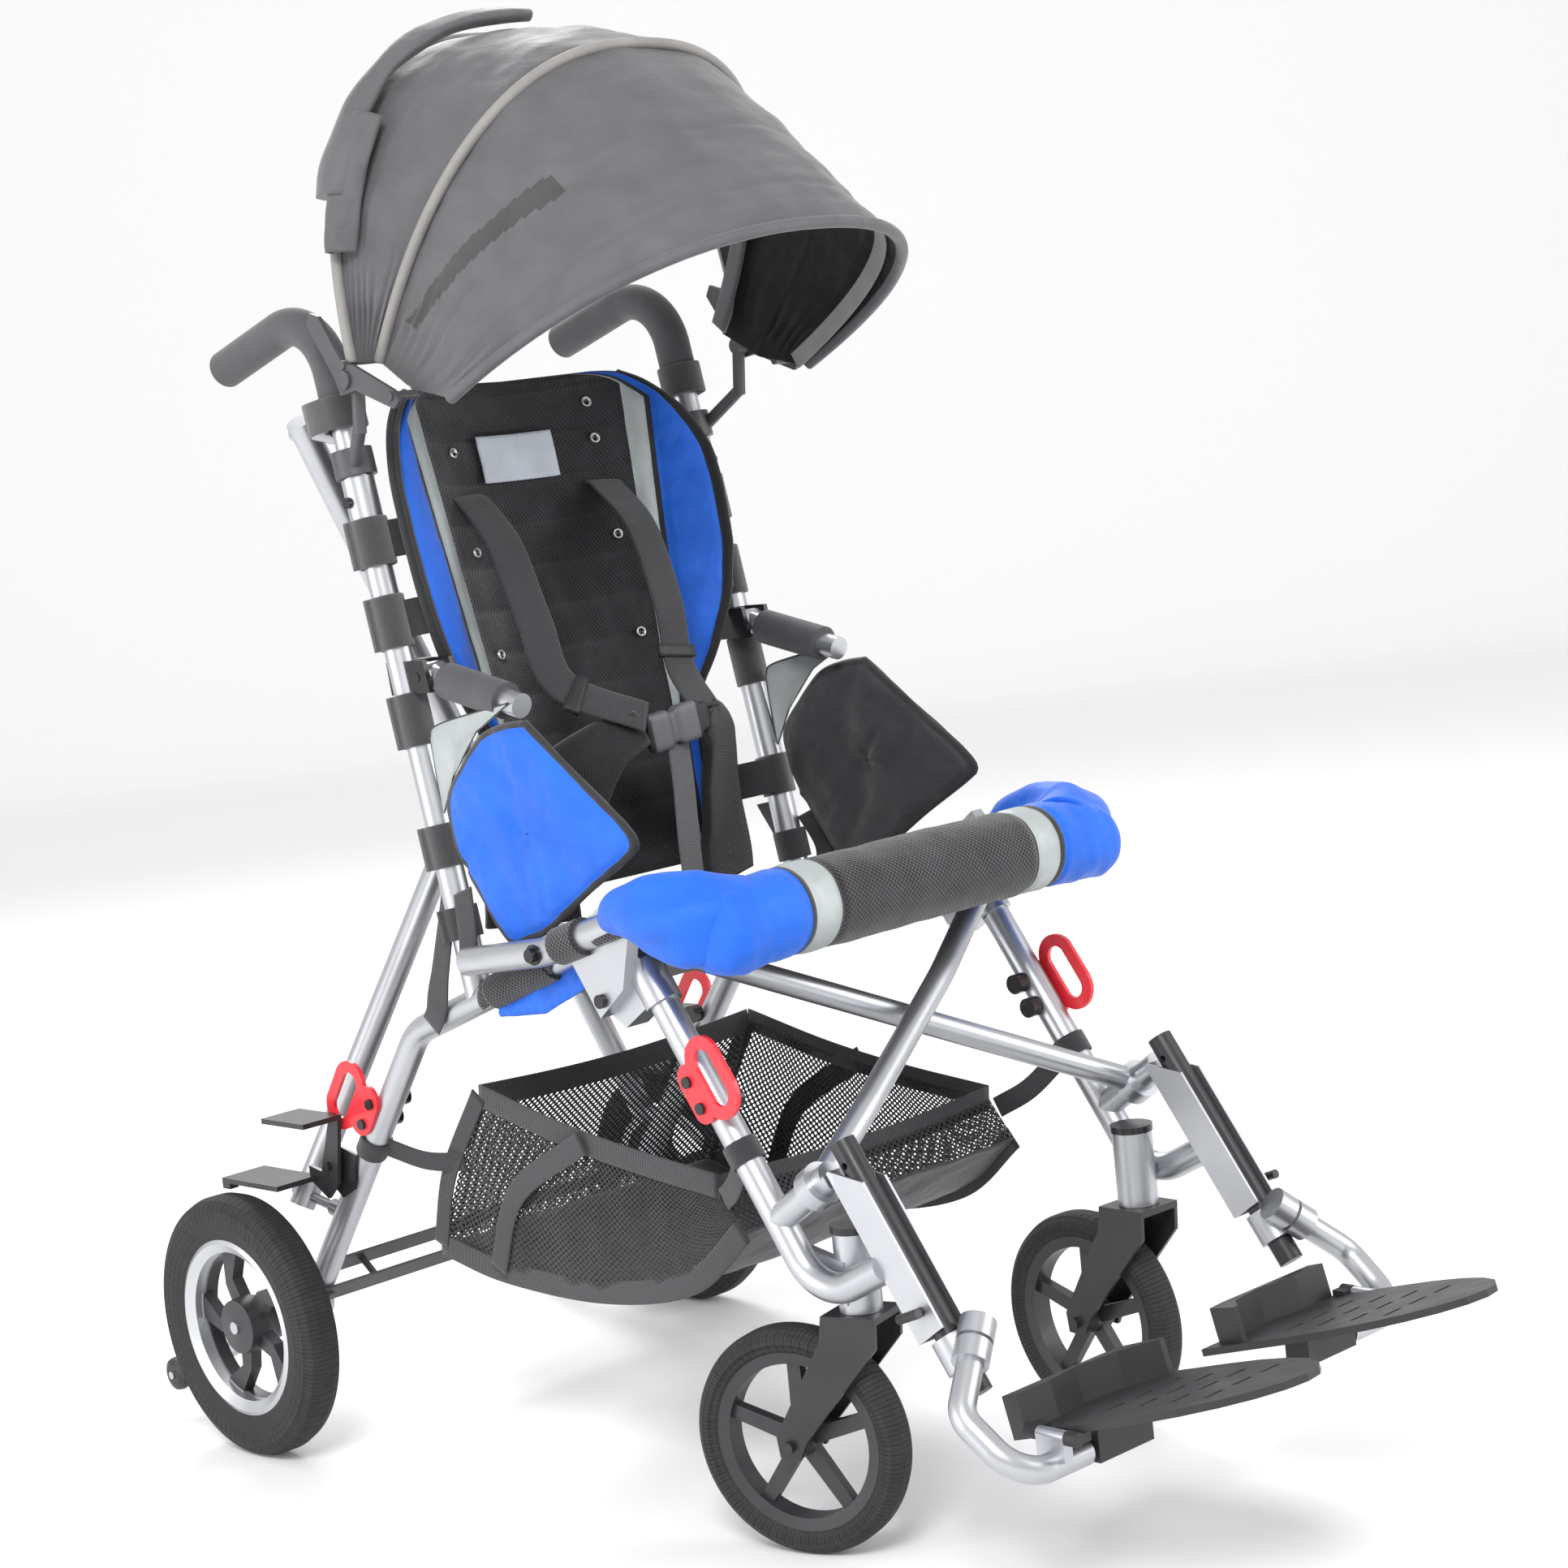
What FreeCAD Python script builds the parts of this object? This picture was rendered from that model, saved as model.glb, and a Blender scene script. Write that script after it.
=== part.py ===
import FreeCAD, Part
import math
import os
import Sketcher

from FreeCAD import Placement, Rotation, Vector

# Folding special needs buggy.
# Frame of the part: X to the occupant's left, Y to the rear, Z up, floor at Z = 0, millimetres.
# The two side frames are mirror images. Each is drawn on its left (+X) side and mirrored to the right.
# Points written as (y, z) lie in a side plane.

SIZES = {
    # Side frames
    "side_plane": 205.0,
    "tube_diameter": 25.4,
    "tube_wall": 2.0,
    "slim_diameter": 22.0,
    "rail_gap": 1.6,
    "weld_gap": 0.3,
    "fit_gap": 0.06,
    # Rear leg and lower seat rail
    "axle_back": 468.0,
    "axle_height": 127.0,
    "knee_back": 243.0,
    "knee_height": 412.0,
    "knee_bend": 60.0,
    "rail_front": -36.0,
    "rail_front_height": 512.0,
    # Upper seat rail
    "upper_rear": 120.0,
    "upper_rear_height": 489.0,
    "upper_knee": -150.0,
    "upper_knee_height": 550.0,
    "upper_front": -210.0,
    "upper_front_height": 541.0,
    "pivot_back": 9.0,
    "pivot_height": 503.0,
    # Front leg, measured from the point where its stub leaves it
    "leg_lean": 33.0,
    "stub_back": -219.2,
    "stub_height": 286.7,
    "leg_rise": 232.0,
    "leg_drop": 75.0,
    "leg_curl": 45.0,
    "stub_length": 80.0,
    # Caster
    "stem_side": 175.0,
    "stem_back": -273.0,
    "housing_radius": 18.0,
    "housing_bottom": 210.0,
    "housing_length": 66.0,
    "stem_radius": 6.0,
    "caster_trail": 68.0,
    "caster_radius": 97.0,
    "caster_rim_radius": 76.0,
    "caster_tyre_width": 32.0,
    "fork_gap": 20.0,
    "fork_thickness": 4.0,
    "right_yaw": 16.3,
    "left_yaw": -2.3,
    # Rear wheel
    "wheel_radius": 127.0,
    "rim_radius": 86.0,
    "wheel_outside": 301.0,
    "tip_roller_side": 241.0,
    "tip_roller_back": 659.6,
    "tip_roller_height": 40.0,
    "tyre_width": 40.0,
    "axle_radius": 6.0,
    # Back post and handle
    "post_foot_back": 150.0,
    "post_foot_height": 486.0,
    "post_lean": 10.6,
    "handle_corner": 600.0,
    "handle_bend": 58.0,
    "handle_reach": 154.0,
    "handle_drop": 16.0,
    "grip_diameter": 35.0,
    "grip_start": 490.0,
    "sleeve_diameter": 30.0,
    # Armrest
    "armrest_side": 194.0,
    "armrest_height": 739.0,
    "armrest_reach": 136.0,
    "armrest_fall": 29.0,
    "foam_diameter": 33.0,
    # Front cross brace
    "front_brace_rise": 240.0,
    "brace_end_side": 198.0,
    "brace_tip_lift": 30.0,
    "left_brace_lift": 46.0,
    "right_brace_lift": 60.0,
    "collar_width": 16.0,
    "collar_wall": 6.0,
    # Rear cross brace
    "rear_brace_lean": 10.1,
    "rear_brace_back": 430.0,
    "rear_brace_low": 232.0,
    "rear_brace_rise": 741.0,
    "rear_pin_radius": 5.0,
    "crossbar_pin_radius": 4.0,
    # Rear crossbar
    "crossbar_up": 28.0,
    "bar_depth": 18.0,
    "bar_thickness": 3.0,
    "bar_gap": 0.5,
    # Foot hanger
    "hanger_side": 198.0,
    "hanger_top_back": -295.5,
    "hanger_top_height": 357.0,
    "hanger_lean": 33.4,
    "hanger_length": 226.0,
    "foot_run_back": -495.0,
    "foot_run_height": 125.0,
    "flip_hinge_side": 201.0,
    "flip_hinge_height": 148.0,
    # Footplate
    "plate_outside": 195.0,
    "plate_width": 158.0,
    "plate_length": 236.0,
    "plate_pitch": 14.4,
    "plate_heel_back": -448.0,
    "plate_heel_height": 134.0,
    "plate_thickness": 6.0,
    "heel_wall": 35.0,
    # Soft parts
    "sling_thickness": 10.0,
    "roll_diameter": 80.0,
    "roll_back": -209.0,
    "roll_height": 533.0,
    "roll_half": 248.0,
    "pad_radius": 325.0,
    "pad_thickness": 20.0,
    "side_pad_side": 208.0,
    "side_pad_thickness": 18.0,
    "fabric": 3.0,
    "basket_half": 174.0,
    # Canopy
    "canopy_back": 180.0,
    "canopy_height": 1005.0,
    "arm_side": 238.0,
    "arm_thickness": 4.0,
    "bow_diameter": 7.0,
}

doc = FreeCAD.newDocument("special_needs_buggy")
sheet = doc.addObject("Spreadsheet::Sheet", "Sizes")
for row, (alias, value) in enumerate(SIZES.items(), start=1):
    sheet.set("A%d" % row, alias)
    sheet.set("B%d" % row, str(value))
    sheet.setAlias("B%d" % row, alias)
doc.recompute()

NODES = []


def size(alias):
    """One driving size, read from the sheet."""
    return float(sheet.get(alias))


def on_lean(start, lean, along, out=0.0):
    """(y, z) of a point 'along' a line that leans back by 'lean' degrees, and 'out' in front of it."""
    s, c = math.sin(math.radians(lean)), math.cos(math.radians(lean))
    return start[0] + along * s - out * c, start[1] + along * c + out * s


def line_frame(origin, lean):
    """Placement whose local Y climbs a line leaning back by 'lean' and whose local Z points forward."""
    return Placement(Vector(*origin), Rotation(Vector(1, 0, 0), 90.0 - lean))


def keep(obj, label):
    """Name a finished sub-part, so that it is checked and written."""
    obj.Label = label
    NODES.append(obj)
    return obj


def new_body(name):
    return doc.addObject("PartDesign::Body", name)


def origin_plane(body, role):
    return [f for f in body.Origin.OriginFeatures if f.Role == role][0]


def sketch_on(body, role, lift=0.0):
    """Sketch on one of the body's origin planes, raised by 'lift', a number or an expression."""
    sketch = body.newObject("Sketcher::SketchObject", "Sketch")
    sketch.AttachmentSupport = [(origin_plane(body, role), "")]
    sketch.MapMode = "FlatFace"
    if isinstance(lift, str):
        sketch.setExpression("AttachmentOffset.Base.z", lift)
    else:
        sketch.AttachmentOffset = Placement(Vector(0, 0, lift), Rotation())
    return sketch


def draw_loop(sketch, points):
    for a, b in zip(points, points[1:] + points[:1]):
        sketch.addGeometry(Part.LineSegment(Vector(a[0], a[1], 0), Vector(b[0], b[1], 0)), False)


def draw_circle(sketch, centre, radius):
    """Circle whose radius is bound to the sheet."""
    index = sketch.addGeometry(Part.Circle(Vector(centre[0], centre[1], 0), Vector(0, 0, 1), 1.0), False)
    row = sketch.addConstraint(Sketcher.Constraint("Radius", index, 1.0))
    sketch.setExpression("Constraints[%d]" % row, radius)


def pad(body, sketch, length, midplane=False):
    feature = body.newObject("PartDesign::Pad", "Pad")
    feature.Profile = sketch
    feature.setExpression("Length", length)
    feature.Midplane = midplane
    body.Tip = feature
    return feature


def plate(name, points, thickness, lift=0.0, holes=(), role="YZ_Plane", midplane=False):
    """Flat piece: an outline with round holes, padded to its thickness."""
    body = new_body(name)
    sketch = sketch_on(body, role, lift)
    draw_loop(sketch, points)
    for centre, radius in holes:
        draw_circle(sketch, centre, radius)
    pad(body, sketch, thickness, midplane)
    return body


def rounded_edges(points, bends):
    """Lines joined by tangent arcs along 3-D points; bends holds the radius at each inner point."""
    points = [Vector(*p) for p in points]
    edges, start = [], points[0]
    for before, corner, after, radius in zip(points, points[1:], points[2:], bends):
        arrive = (corner - before).normalize()
        leave = (after - corner).normalize()
        half_turn = arrive.getAngle(leave) / 2.0
        cut = radius * math.tan(half_turn)
        middle = (leave - arrive).normalize() * (radius / math.cos(half_turn) - radius)
        arc_start, arc_end = corner - arrive * cut, corner + leave * cut
        if (arc_start - start).Length > 1e-3:
            edges.append(Part.LineSegment(start, arc_start))
        edges.append(Part.Arc(arc_start, corner + middle, arc_end))
        start = arc_end
    edges.append(Part.LineSegment(start, points[-1]))
    return edges


def bent_tube(name, points, bends, diameter, wall=None, lift=0.0):
    """Round tube bent in one plane: a spine of lines and arcs in the YZ plane and a ring swept along it."""
    body = new_body(name)
    spine = sketch_on(body, "YZ_Plane", lift)
    for edge in rounded_edges([(p[0], p[1], 0) for p in points], bends):
        spine.addGeometry(edge, False)
    doc.recompute()
    ring = body.newObject("Sketcher::SketchObject", "Ring")
    ring.AttachmentSupport = [(spine, "Edge1")]
    ring.MapMode = "NormalToEdge"
    draw_circle(ring, (0, 0), diameter + " / 2")
    if wall:
        draw_circle(ring, (0, 0), diameter + " / 2 - " + wall)
    doc.recompute()
    pipe = body.newObject("PartDesign::AdditivePipe", "Pipe")
    pipe.Profile = ring
    pipe.Spine = (spine, ["Edge%d" % (i + 1) for i in range(len(spine.Shape.Edges))])
    body.Tip = pipe
    return body


def turned(name, profile, placement=None):
    """Turned piece: a closed (radius, height) outline revolved about the body's Z axis."""
    body = new_body(name)
    sketch = sketch_on(body, "XZ_Plane")
    draw_loop(sketch, profile)
    feature = body.newObject("PartDesign::Revolution", "Revolution")
    feature.Profile = sketch
    feature.ReferenceAxis = (sketch, ["V_Axis"])
    feature.Angle = 360.0
    body.Tip = feature
    if placement:
        body.Placement = placement
    return body


def rod(name, start, end, radius):
    """Round bar between two points; radius is an expression."""
    start, end = Vector(*start), Vector(*end)
    bar = doc.addObject("Part::Cylinder", name)
    bar.setExpression("Radius", radius)
    bar.Height = (end - start).Length
    bar.Placement = Placement(start, Rotation(Vector(0, 0, 1), end - start))
    return bar


def block(name, low, high):
    """Box between two corners."""
    box = doc.addObject("Part::Box", name)
    box.Length, box.Width, box.Height = (b - a for a, b in zip(low, high))
    box.Placement = Placement(Vector(*low), Rotation())
    return box


def fused(name, pieces):
    result = doc.addObject("Part::MultiFuse", name)
    result.Shapes = pieces
    return result


def cut(name, base, tool):
    result = doc.addObject("Part::Cut", name)
    result.Base = base
    result.Tool = tool
    return result


def group(name, pieces):
    result = doc.addObject("Part::Compound", name)
    result.Links = pieces
    return result


def shape_piece(name, shape):
    piece = doc.addObject("Part::Feature", name)
    piece.Shape = shape
    return piece


def both_sides(piece, name):
    """Keep a left piece and its mirror image on the right."""
    keep(piece, "left_" + name)
    mirror = doc.addObject("Part::Mirroring", "right_" + name)
    mirror.Source = piece
    mirror.Normal = (1, 0, 0)
    keep(mirror, "right_" + name)


SIDE = "Sizes.side_plane"
TUBE = "Sizes.tube_diameter"
SLIM = "Sizes.slim_diameter"
WALL = "Sizes.tube_wall"

side = size("side_plane")
tube = size("tube_diameter")
tube_radius = tube / 2
slim_radius = size("slim_diameter") / 2
stub_radius = tube_radius - size("weld_gap")
rail_side = side + tube + size("rail_gap")
axle = (size("axle_back"), size("axle_height"))
knee = (size("knee_back"), size("knee_height"))
rear_lean = -math.degrees(math.atan2(axle[0] - knee[0], knee[1] - axle[1]))
stub_foot = (size("stub_back"), size("stub_height"))
leg_lean = size("leg_lean")
leg_top = on_lean(stub_foot, leg_lean, size("leg_rise"))
post_foot = (size("post_foot_back"), size("post_foot_height"))
post_lean = size("post_lean")
wheel_inside = size("wheel_outside") - size("tyre_width")
hinge_side = size("flip_hinge_side")
hinge_height = size("flip_hinge_height")
BRAKE_PIVOT = (377.0, 278.0)


def on_post(along, out=0.0):
    return on_lean(post_foot, post_lean, along, out)


def post_at(height):
    """(y, z) of the back post's axis at a height."""
    return on_post((height - post_foot[1]) / math.cos(math.radians(post_lean)))


def at_side(x, point):
    return (x, point[0], point[1])


def rear_brace_foot(name):
    """(y, z) of the point where one rear brace turns. The right brace passes behind the left one."""
    behind = 0.0 if name == "left" else tube + size("rail_gap")
    return on_lean((size("rear_brace_back"), size("rear_brace_low")), -size("rear_brace_lean"), 0, -behind)


def side_tube():
    """Rear leg and lower seat rail in one tube, with stub axle, brace boss and anti-tip bar."""
    front = (size("rail_front"), size("rail_front_height"))
    leg = bent_tube("SideTube", [axle, knee, front], [size("knee_bend")], TUBE, WALL, SIDE)
    stub = rod("StubAxle", (side - tube_radius - 4, *axle), (size("wheel_outside") - 2, *axle),
               "Sizes.axle_radius")
    shoulder = rod("AxleShoulder", (side - tube_radius - 2, *axle), (side + tube_radius + 4, *axle), "14")
    roller = (size("tip_roller_back"), size("tip_roller_height"))
    roller_side = size("tip_roller_side")
    bar = rod("AntiTipBar", (side + 4, axle[0] + 6, axle[1] - 8), (roller_side - 10, *roller), "8")
    pin = rod("AntiTipPin", (roller_side - 12, *roller), (roller_side + 18, *roller), "4")
    brace_lean = -size("rear_brace_lean")
    foot = rear_brace_foot("left")
    boss = rod("BraceBoss", at_side(side, on_lean(foot, brace_lean, 0, 19)),
               at_side(side, on_lean(foot, brace_lean, 0, 36)), "9")
    welded = fused("SideTubeWelded", [leg, stub, shoulder, bar, pin, boss])
    brace_bore = rod("BraceBore", at_side(side, on_lean(foot, brace_lean, 0, 10)),
                     at_side(side,
                             on_lean(foot, brace_lean, 0, 42)), "Sizes.rear_pin_radius + Sizes.fit_gap")
    cross = size("crossbar_up")
    cross_bore = rod("CrossbarBore", at_side(side, on_lean(axle, rear_lean, cross, -20)),
                     at_side(side,
                             on_lean(axle, rear_lean, cross,
                                     20)), "Sizes.crossbar_pin_radius + Sizes.fit_gap")
    both_sides(cut("SideTubeBored", welded, fused("SideTubeBores", [brace_bore, cross_bore])), "side_tube")


def anti_tip_roller():
    """Small wheel behind the rear wheel, on the anti-tip bar's pin."""
    bore = 4 + size("fit_gap")
    ring = [(bore, 0), (10, 0), (16, 3), (17, 8), (16, 13), (10, 16), (bore, 16)]
    centre = (size("tip_roller_side"), size("tip_roller_back"), size("tip_roller_height"))
    both_sides(turned("Roller", ring, Placement(Vector(*centre), Rotation(Vector(0, 1, 0), 90))),
               "anti_tip_roller")


def seat_rail():
    """Upper seat rail outboard of the lower one; its front end runs into the seat roll."""
    rear = (size("upper_rear"), size("upper_rear_height"))
    pivot = (size("pivot_back"), size("pivot_height"))
    knee_point = (size("upper_knee"), size("upper_knee_height"))
    front = (size("upper_front"), size("upper_front_height"))
    path = [rear, pivot, knee_point, front]
    both_sides(bent_tube("SeatRail", path, [120, 60], TUBE, WALL, str(rail_side)), "seat_rail")


def channel(name, start, end, back, front):
    """U-shaped hanger channel: a web behind the hanger tube and two cheeks, between two places along it."""
    half = slim_radius + size("weld_gap")
    web = plate(name + "Web", [(-end, -back - 3), (-start, -back - 3), (-start, -back), (-end, -back)],
                str(2 * half + 5), role="YZ_Plane", midplane=True)
    cheek = [(-end, -back), (-start, -back), (-start - 25, front), (-end, front)]
    outer = plate(name + "Outer", cheek, "2.5", str(half))
    inner = plate(name + "Inner", cheek, "2.5", str(-half - 2.5))
    return fused(name, [web, outer, inner])


GUSSET_THICKNESS = 8


def leg_point(low, along):
    """(y, z) of a place on the front leg's axis, above the corner where it curls forward."""
    return on_lean(low, leg_lean, along)


def front_leg():
    """Front leg that curls forward to the hanger channel, with pivot stub, caster housing and gusset."""
    low = on_lean(stub_foot, leg_lean, -size("leg_drop"))
    hanger_top = (size("hanger_top_back"), size("hanger_top_height"))
    lean = size("hanger_lean")
    end = on_lean(hanger_top, lean, -103, -19)
    leg = bent_tube("FrontLeg", [leg_top, low, end], [size("leg_curl")], TUBE, None, SIDE)
    stub_end = on_lean(stub_foot, leg_lean, 0, size("stub_length"))
    stub = rod("PivotStub", at_side(side, stub_foot), at_side(side, stub_end), str(stub_radius))
    rails = channel("HangerChannel", 15, 170, 17, 12)
    rails.Placement = line_frame(at_side(size("hanger_side"), hanger_top), lean)
    stem = (size("stem_side"), size("stem_back"))
    bottom, length = size("housing_bottom"), size("housing_length")
    housing = rod("Housing", (*stem, bottom), (*stem, bottom + length), "Sizes.housing_radius")
    web = [leg_point(low, 0), leg_point(low, 46), (stem[1] - 4, bottom + 44), (stem[1] - 4, bottom + 8)]
    gusset = plate("Gusset", web, str(GUSSET_THICKNESS), str(side - tube_radius - GUSSET_THICKNESS + 2))
    solid = fused("FrontLegWelded", [leg, stub, rails, housing, gusset])
    bore = rod("StemBore", (*stem, bottom - 5), (*stem, bottom + length - 8),
               "Sizes.stem_radius + Sizes.fit_gap")
    both_sides(cut("FrontLegBored", solid, bore), "front_leg")


def leg_outline(points):
    """(y, z) points from (along, out) pairs measured on the front leg."""
    return [on_lean(stub_foot, leg_lean, along, out) for along, out in points]


def leg_bracket():
    """Cast clamp between the front leg's top and the two seat rails, with a sleeve round the leg."""
    inside = side - tube_radius + 2
    between = side + tube_radius + 1
    body = plate("Bracket",
                 leg_outline([(209, 0), (209, -42), (226, -50), (302, -50), (306, -18), (262, 8),
                              (245, 14)]),
                 str(between - inside), str(inside))
    saddle = plate("RailSaddle", leg_outline([(226, -50), (296, -50), (300, 25), (262, 30), (230, -8)]),
                   str(rail_side - between), str(between))
    sleeve = rod("LegSleeve", at_side(side, on_lean(stub_foot, leg_lean, 206)),
                 at_side(side, on_lean(stub_foot, leg_lean, 246)), "16.5")
    solid = fused("BracketSolid", [body, saddle, sleeve])
    hole = TUBE + " / 2 + Sizes.weld_gap"
    leg_hole = rod("LegHole", at_side(side, on_lean(leg_top, leg_lean, -120)),
                   at_side(side, on_lean(leg_top, leg_lean, 1)), hole)
    front = (size("rail_front"), size("rail_front_height"))
    low_end = (front[0] - 2, front[1] + 1)
    low_hole = rod("LowRailHole", at_side(side, knee), at_side(side, low_end), hole)
    pivot = (size("pivot_back"), size("pivot_height"))
    upper = (size("upper_knee"), size("upper_knee_height"))
    up_hole = rod("UpRailHole", at_side(rail_side, pivot), at_side(rail_side, upper), hole)
    both_sides(cut("LegBracket", solid, fused("BracketHoles", [leg_hole, low_hole, up_hole])), "leg_bracket")


def brace_top(name):
    """(y, z) of the point on a rear brace's axis where its upper bolt sits."""
    return on_lean(rear_brace_foot(name), -size("rear_brace_lean"), size("rear_brace_rise"))


def brace_spacer(name, sign):
    """Rod from a back post to just short of the brace that ends there and starts on the other side."""
    start = on_post(475)
    lean = -size("rear_brace_lean")
    other = brace_top("right" if name == "left" else "left")
    towards = Vector(0, *on_lean((0, 0), lean, 0, -1))
    reach = (Vector(0, *other) - Vector(0, *start)).dot(towards) - tube_radius - size("weld_gap")
    end = Vector(sign * side, *start) + towards * reach
    return rod("BraceSpacer", (sign * side, *start), tuple(end), "5.5")


def rail_crossing():
    """How far up the post's line it crosses the lower rail's axis, where its foot is trimmed."""
    climb = Vector(0, *on_lean((0, 0), post_lean, 1))
    rail = Vector(0, size("rail_front") - knee[0], size("rail_front_height") - knee[1])
    gap = Vector(0, knee[0] - post_foot[0], knee[1] - post_foot[1])
    return gap.cross(rail).x / climb.cross(rail).x


def back_posts():
    """Back posts, bent rearwards into the handles, with a joint sleeve and a brace spacer each."""
    corner = on_post(size("handle_corner"))
    drop = size("handle_reach") * math.tan(math.radians(size("handle_drop")))
    end = (corner[0] + size("handle_reach"), corner[1] - drop)
    bend = [size("handle_bend")]
    post = bent_tube("Post", [on_post(rail_crossing()), corner, end], bend, TUBE, WALL, SIDE)
    sleeve = rod("PostSleeve", at_side(side, on_post(380)), at_side(side, on_post(440)),
                 "Sizes.sleeve_diameter / 2")
    sleeve_hole = rod("SleeveHole", at_side(side, on_post(370)), at_side(side, on_post(450)),
                      TUBE + " / 2 - 1")
    rail_front = (size("rail_front"), size("rail_front_height"))
    saddle = rod("PostSaddle", at_side(side, knee), at_side(side, rail_front),
                 TUBE + " / 2 + Sizes.weld_gap")
    left = cut("LeftPost", fused("PostWelded", [post, cut("JointSleeve", sleeve, sleeve_hole)]), saddle)
    right = doc.addObject("Part::Mirroring", "RightPost")
    right.Source = left
    right.Normal = (1, 0, 0)
    keep(fused("LeftPostWelded", [left, brace_spacer("left", 1)]), "left_back_post")
    keep(fused("RightPostWelded", [right, brace_spacer("right", -1)]), "right_back_post")
    grip = bent_tube("Grip", [on_post(size("grip_start")), corner, end], bend, "Sizes.grip_diameter", None,
                     SIDE)
    core_path = [on_post(size("grip_start") - 5), corner, (end[0] + 4, end[1] - 1.2)]
    core = bent_tube("GripCore", core_path, bend, "(" + TUBE + " + 2 * Sizes.fit_gap)", None, SIDE)
    both_sides(cut("GripFoam", grip, core), "handle_grip")


def disc(name, x, point, radius, height):
    """Bolt head, nut or washer: a short cylinder from x towards +X."""
    return rod(name, (x, *point), (x + height, *point), radius)


def armrest():
    """Armrest bar on its clamp block, with a foam sleeve. It swings up about the block's bolt."""
    x = size("armrest_side")
    pivot = post_at(size("armrest_height"))
    hinge = (pivot[0] - tube_radius - 13, pivot[1])
    front = (hinge[0] - size("armrest_reach") + 14, hinge[1] - size("armrest_fall"))
    bar = rod("ArmrestBar", (x, *hinge), (x, *front), SLIM + " / 2")
    knuckle = rod("ArmrestKnuckle", (x - 12, *hinge), (x + 12, *hinge), "12")
    hole = rod("ArmrestHole", (x - 20, *hinge), (x + 20, *hinge), "4 + Sizes.fit_gap")
    both_sides(cut("ArmrestBored", fused("ArmrestWelded", [bar, knuckle]), hole), "armrest_bar")
    direction = Vector(0, front[0] - hinge[0], front[1] - hinge[1]).normalize()
    start = Vector(x, *hinge) + direction * 24
    end = Vector(x, *hinge) + direction * 104
    outer = rod("FoamOuter", tuple(start), tuple(end), "Sizes.foam_diameter / 2")
    inner = rod("FoamInner", tuple(start - direction * 5), tuple(end + direction * 5),
                SLIM + " / 2 + Sizes.fit_gap")
    both_sides(cut("ArmrestFoam", outer, inner), "armrest_foam")
    ears = plate("ArmrestEars",
                 [(pivot[0] - tube_radius - 30, pivot[1] - 14), (pivot[0] + 14, pivot[1] - 16),
                                 (pivot[0] + 17, pivot[1] + 14), (pivot[0] - tube_radius - 24,
                                                                  pivot[1] + 15)],
                 "34", str(x - 17))
    post_hole = rod("BlockPostHole", at_side(side, post_at(pivot[1] - 30)),
                    at_side(side, post_at(pivot[1] + 30)),
                    TUBE + " / 2 + Sizes.fit_gap")
    slot = block("BlockSlot", (x - 12.4, hinge[0] - 40, hinge[1] - 40),
                 (x + 12.4, hinge[0] + 12.6, hinge[1] + 40))
    ears_cut = cut("ArmrestBlock", ears, fused("BlockCuts", [post_hole, slot]))
    pin = rod("ArmrestPin", (x - 18, *hinge), (x + 18, *hinge), "4")
    return fused("ArmrestMount", [ears_cut, pin])


def hook_outline(half_length, half_width, turn, centre):
    """Stadium outline turned by 'turn' degrees from upright, as (y, z) points on two half circles."""
    points = []
    for step in range(24):
        angle = math.radians(15.0 * step)
        y = half_width * math.cos(angle)
        z = half_width * math.sin(angle) + math.copysign(half_length - half_width, math.sin(angle + 1e-6))
        s, c = math.sin(math.radians(turn)), math.cos(math.radians(turn))
        points.append((centre[0] + y * c + z * s, centre[1] - y * s + z * c))
    return points


# Each tie-down hook is placed on its leg: the leg's foot and lean, the loop's centre and its two bolts as
# (along, out) pairs, and how far the bolt tongue is wide to each side.
HOOKS = (("Front", stub_foot, leg_lean, (124, 26), ((135, -2), (110, -2)), 13),
         ("Rear", axle, rear_lean, (248, -42), ((268, -8), (242, -8)), 16))
HOOK_BOLTS = [on_lean(foot, lean, *bolt) for _, foot, lean, _, bolts, _ in HOOKS for bolt in bolts]


def tie_down_hooks():
    """Red steel tie-down loops: a stadium plate with a slot, bolted through the leg by its rear tongue."""
    x = side + tube_radius + size("weld_gap")
    pieces = []
    for name, foot, lean, loop, bolts, tongue_half in HOOKS:
        centre = on_lean(foot, lean, *loop)
        outer = plate(name + "Loop", hook_outline(37, 22, lean, centre), "4", str(x))
        slot = plate(name + "Slot", hook_outline(26, 10.5, lean, centre), "12", str(x - 4))
        toward_loop = math.copysign(tongue_half - 11, loop[1])
        middle = on_lean(foot, lean, (bolts[0][0] + bolts[1][0]) / 2, bolts[0][1] + toward_loop)
        tongue = plate(name + "Tongue", hook_outline(27, tongue_half, lean, middle), "4", str(x))
        pieces.append(cut(name + "Hook", fused(name + "Blank", [outer, tongue]), slot))
    both_sides(group("TieDownHooks", pieces), "tie_down_hooks")


def brake_bracket(x):
    """Stamped plate on the rear leg that carries the brake lever's pivot."""
    outline = [(343, 290), (366, 296), (388, 288), (392, 262), (372, 246), (352, 256)]
    return plate("BrakeBracket", outline, "3", str(x))


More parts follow.
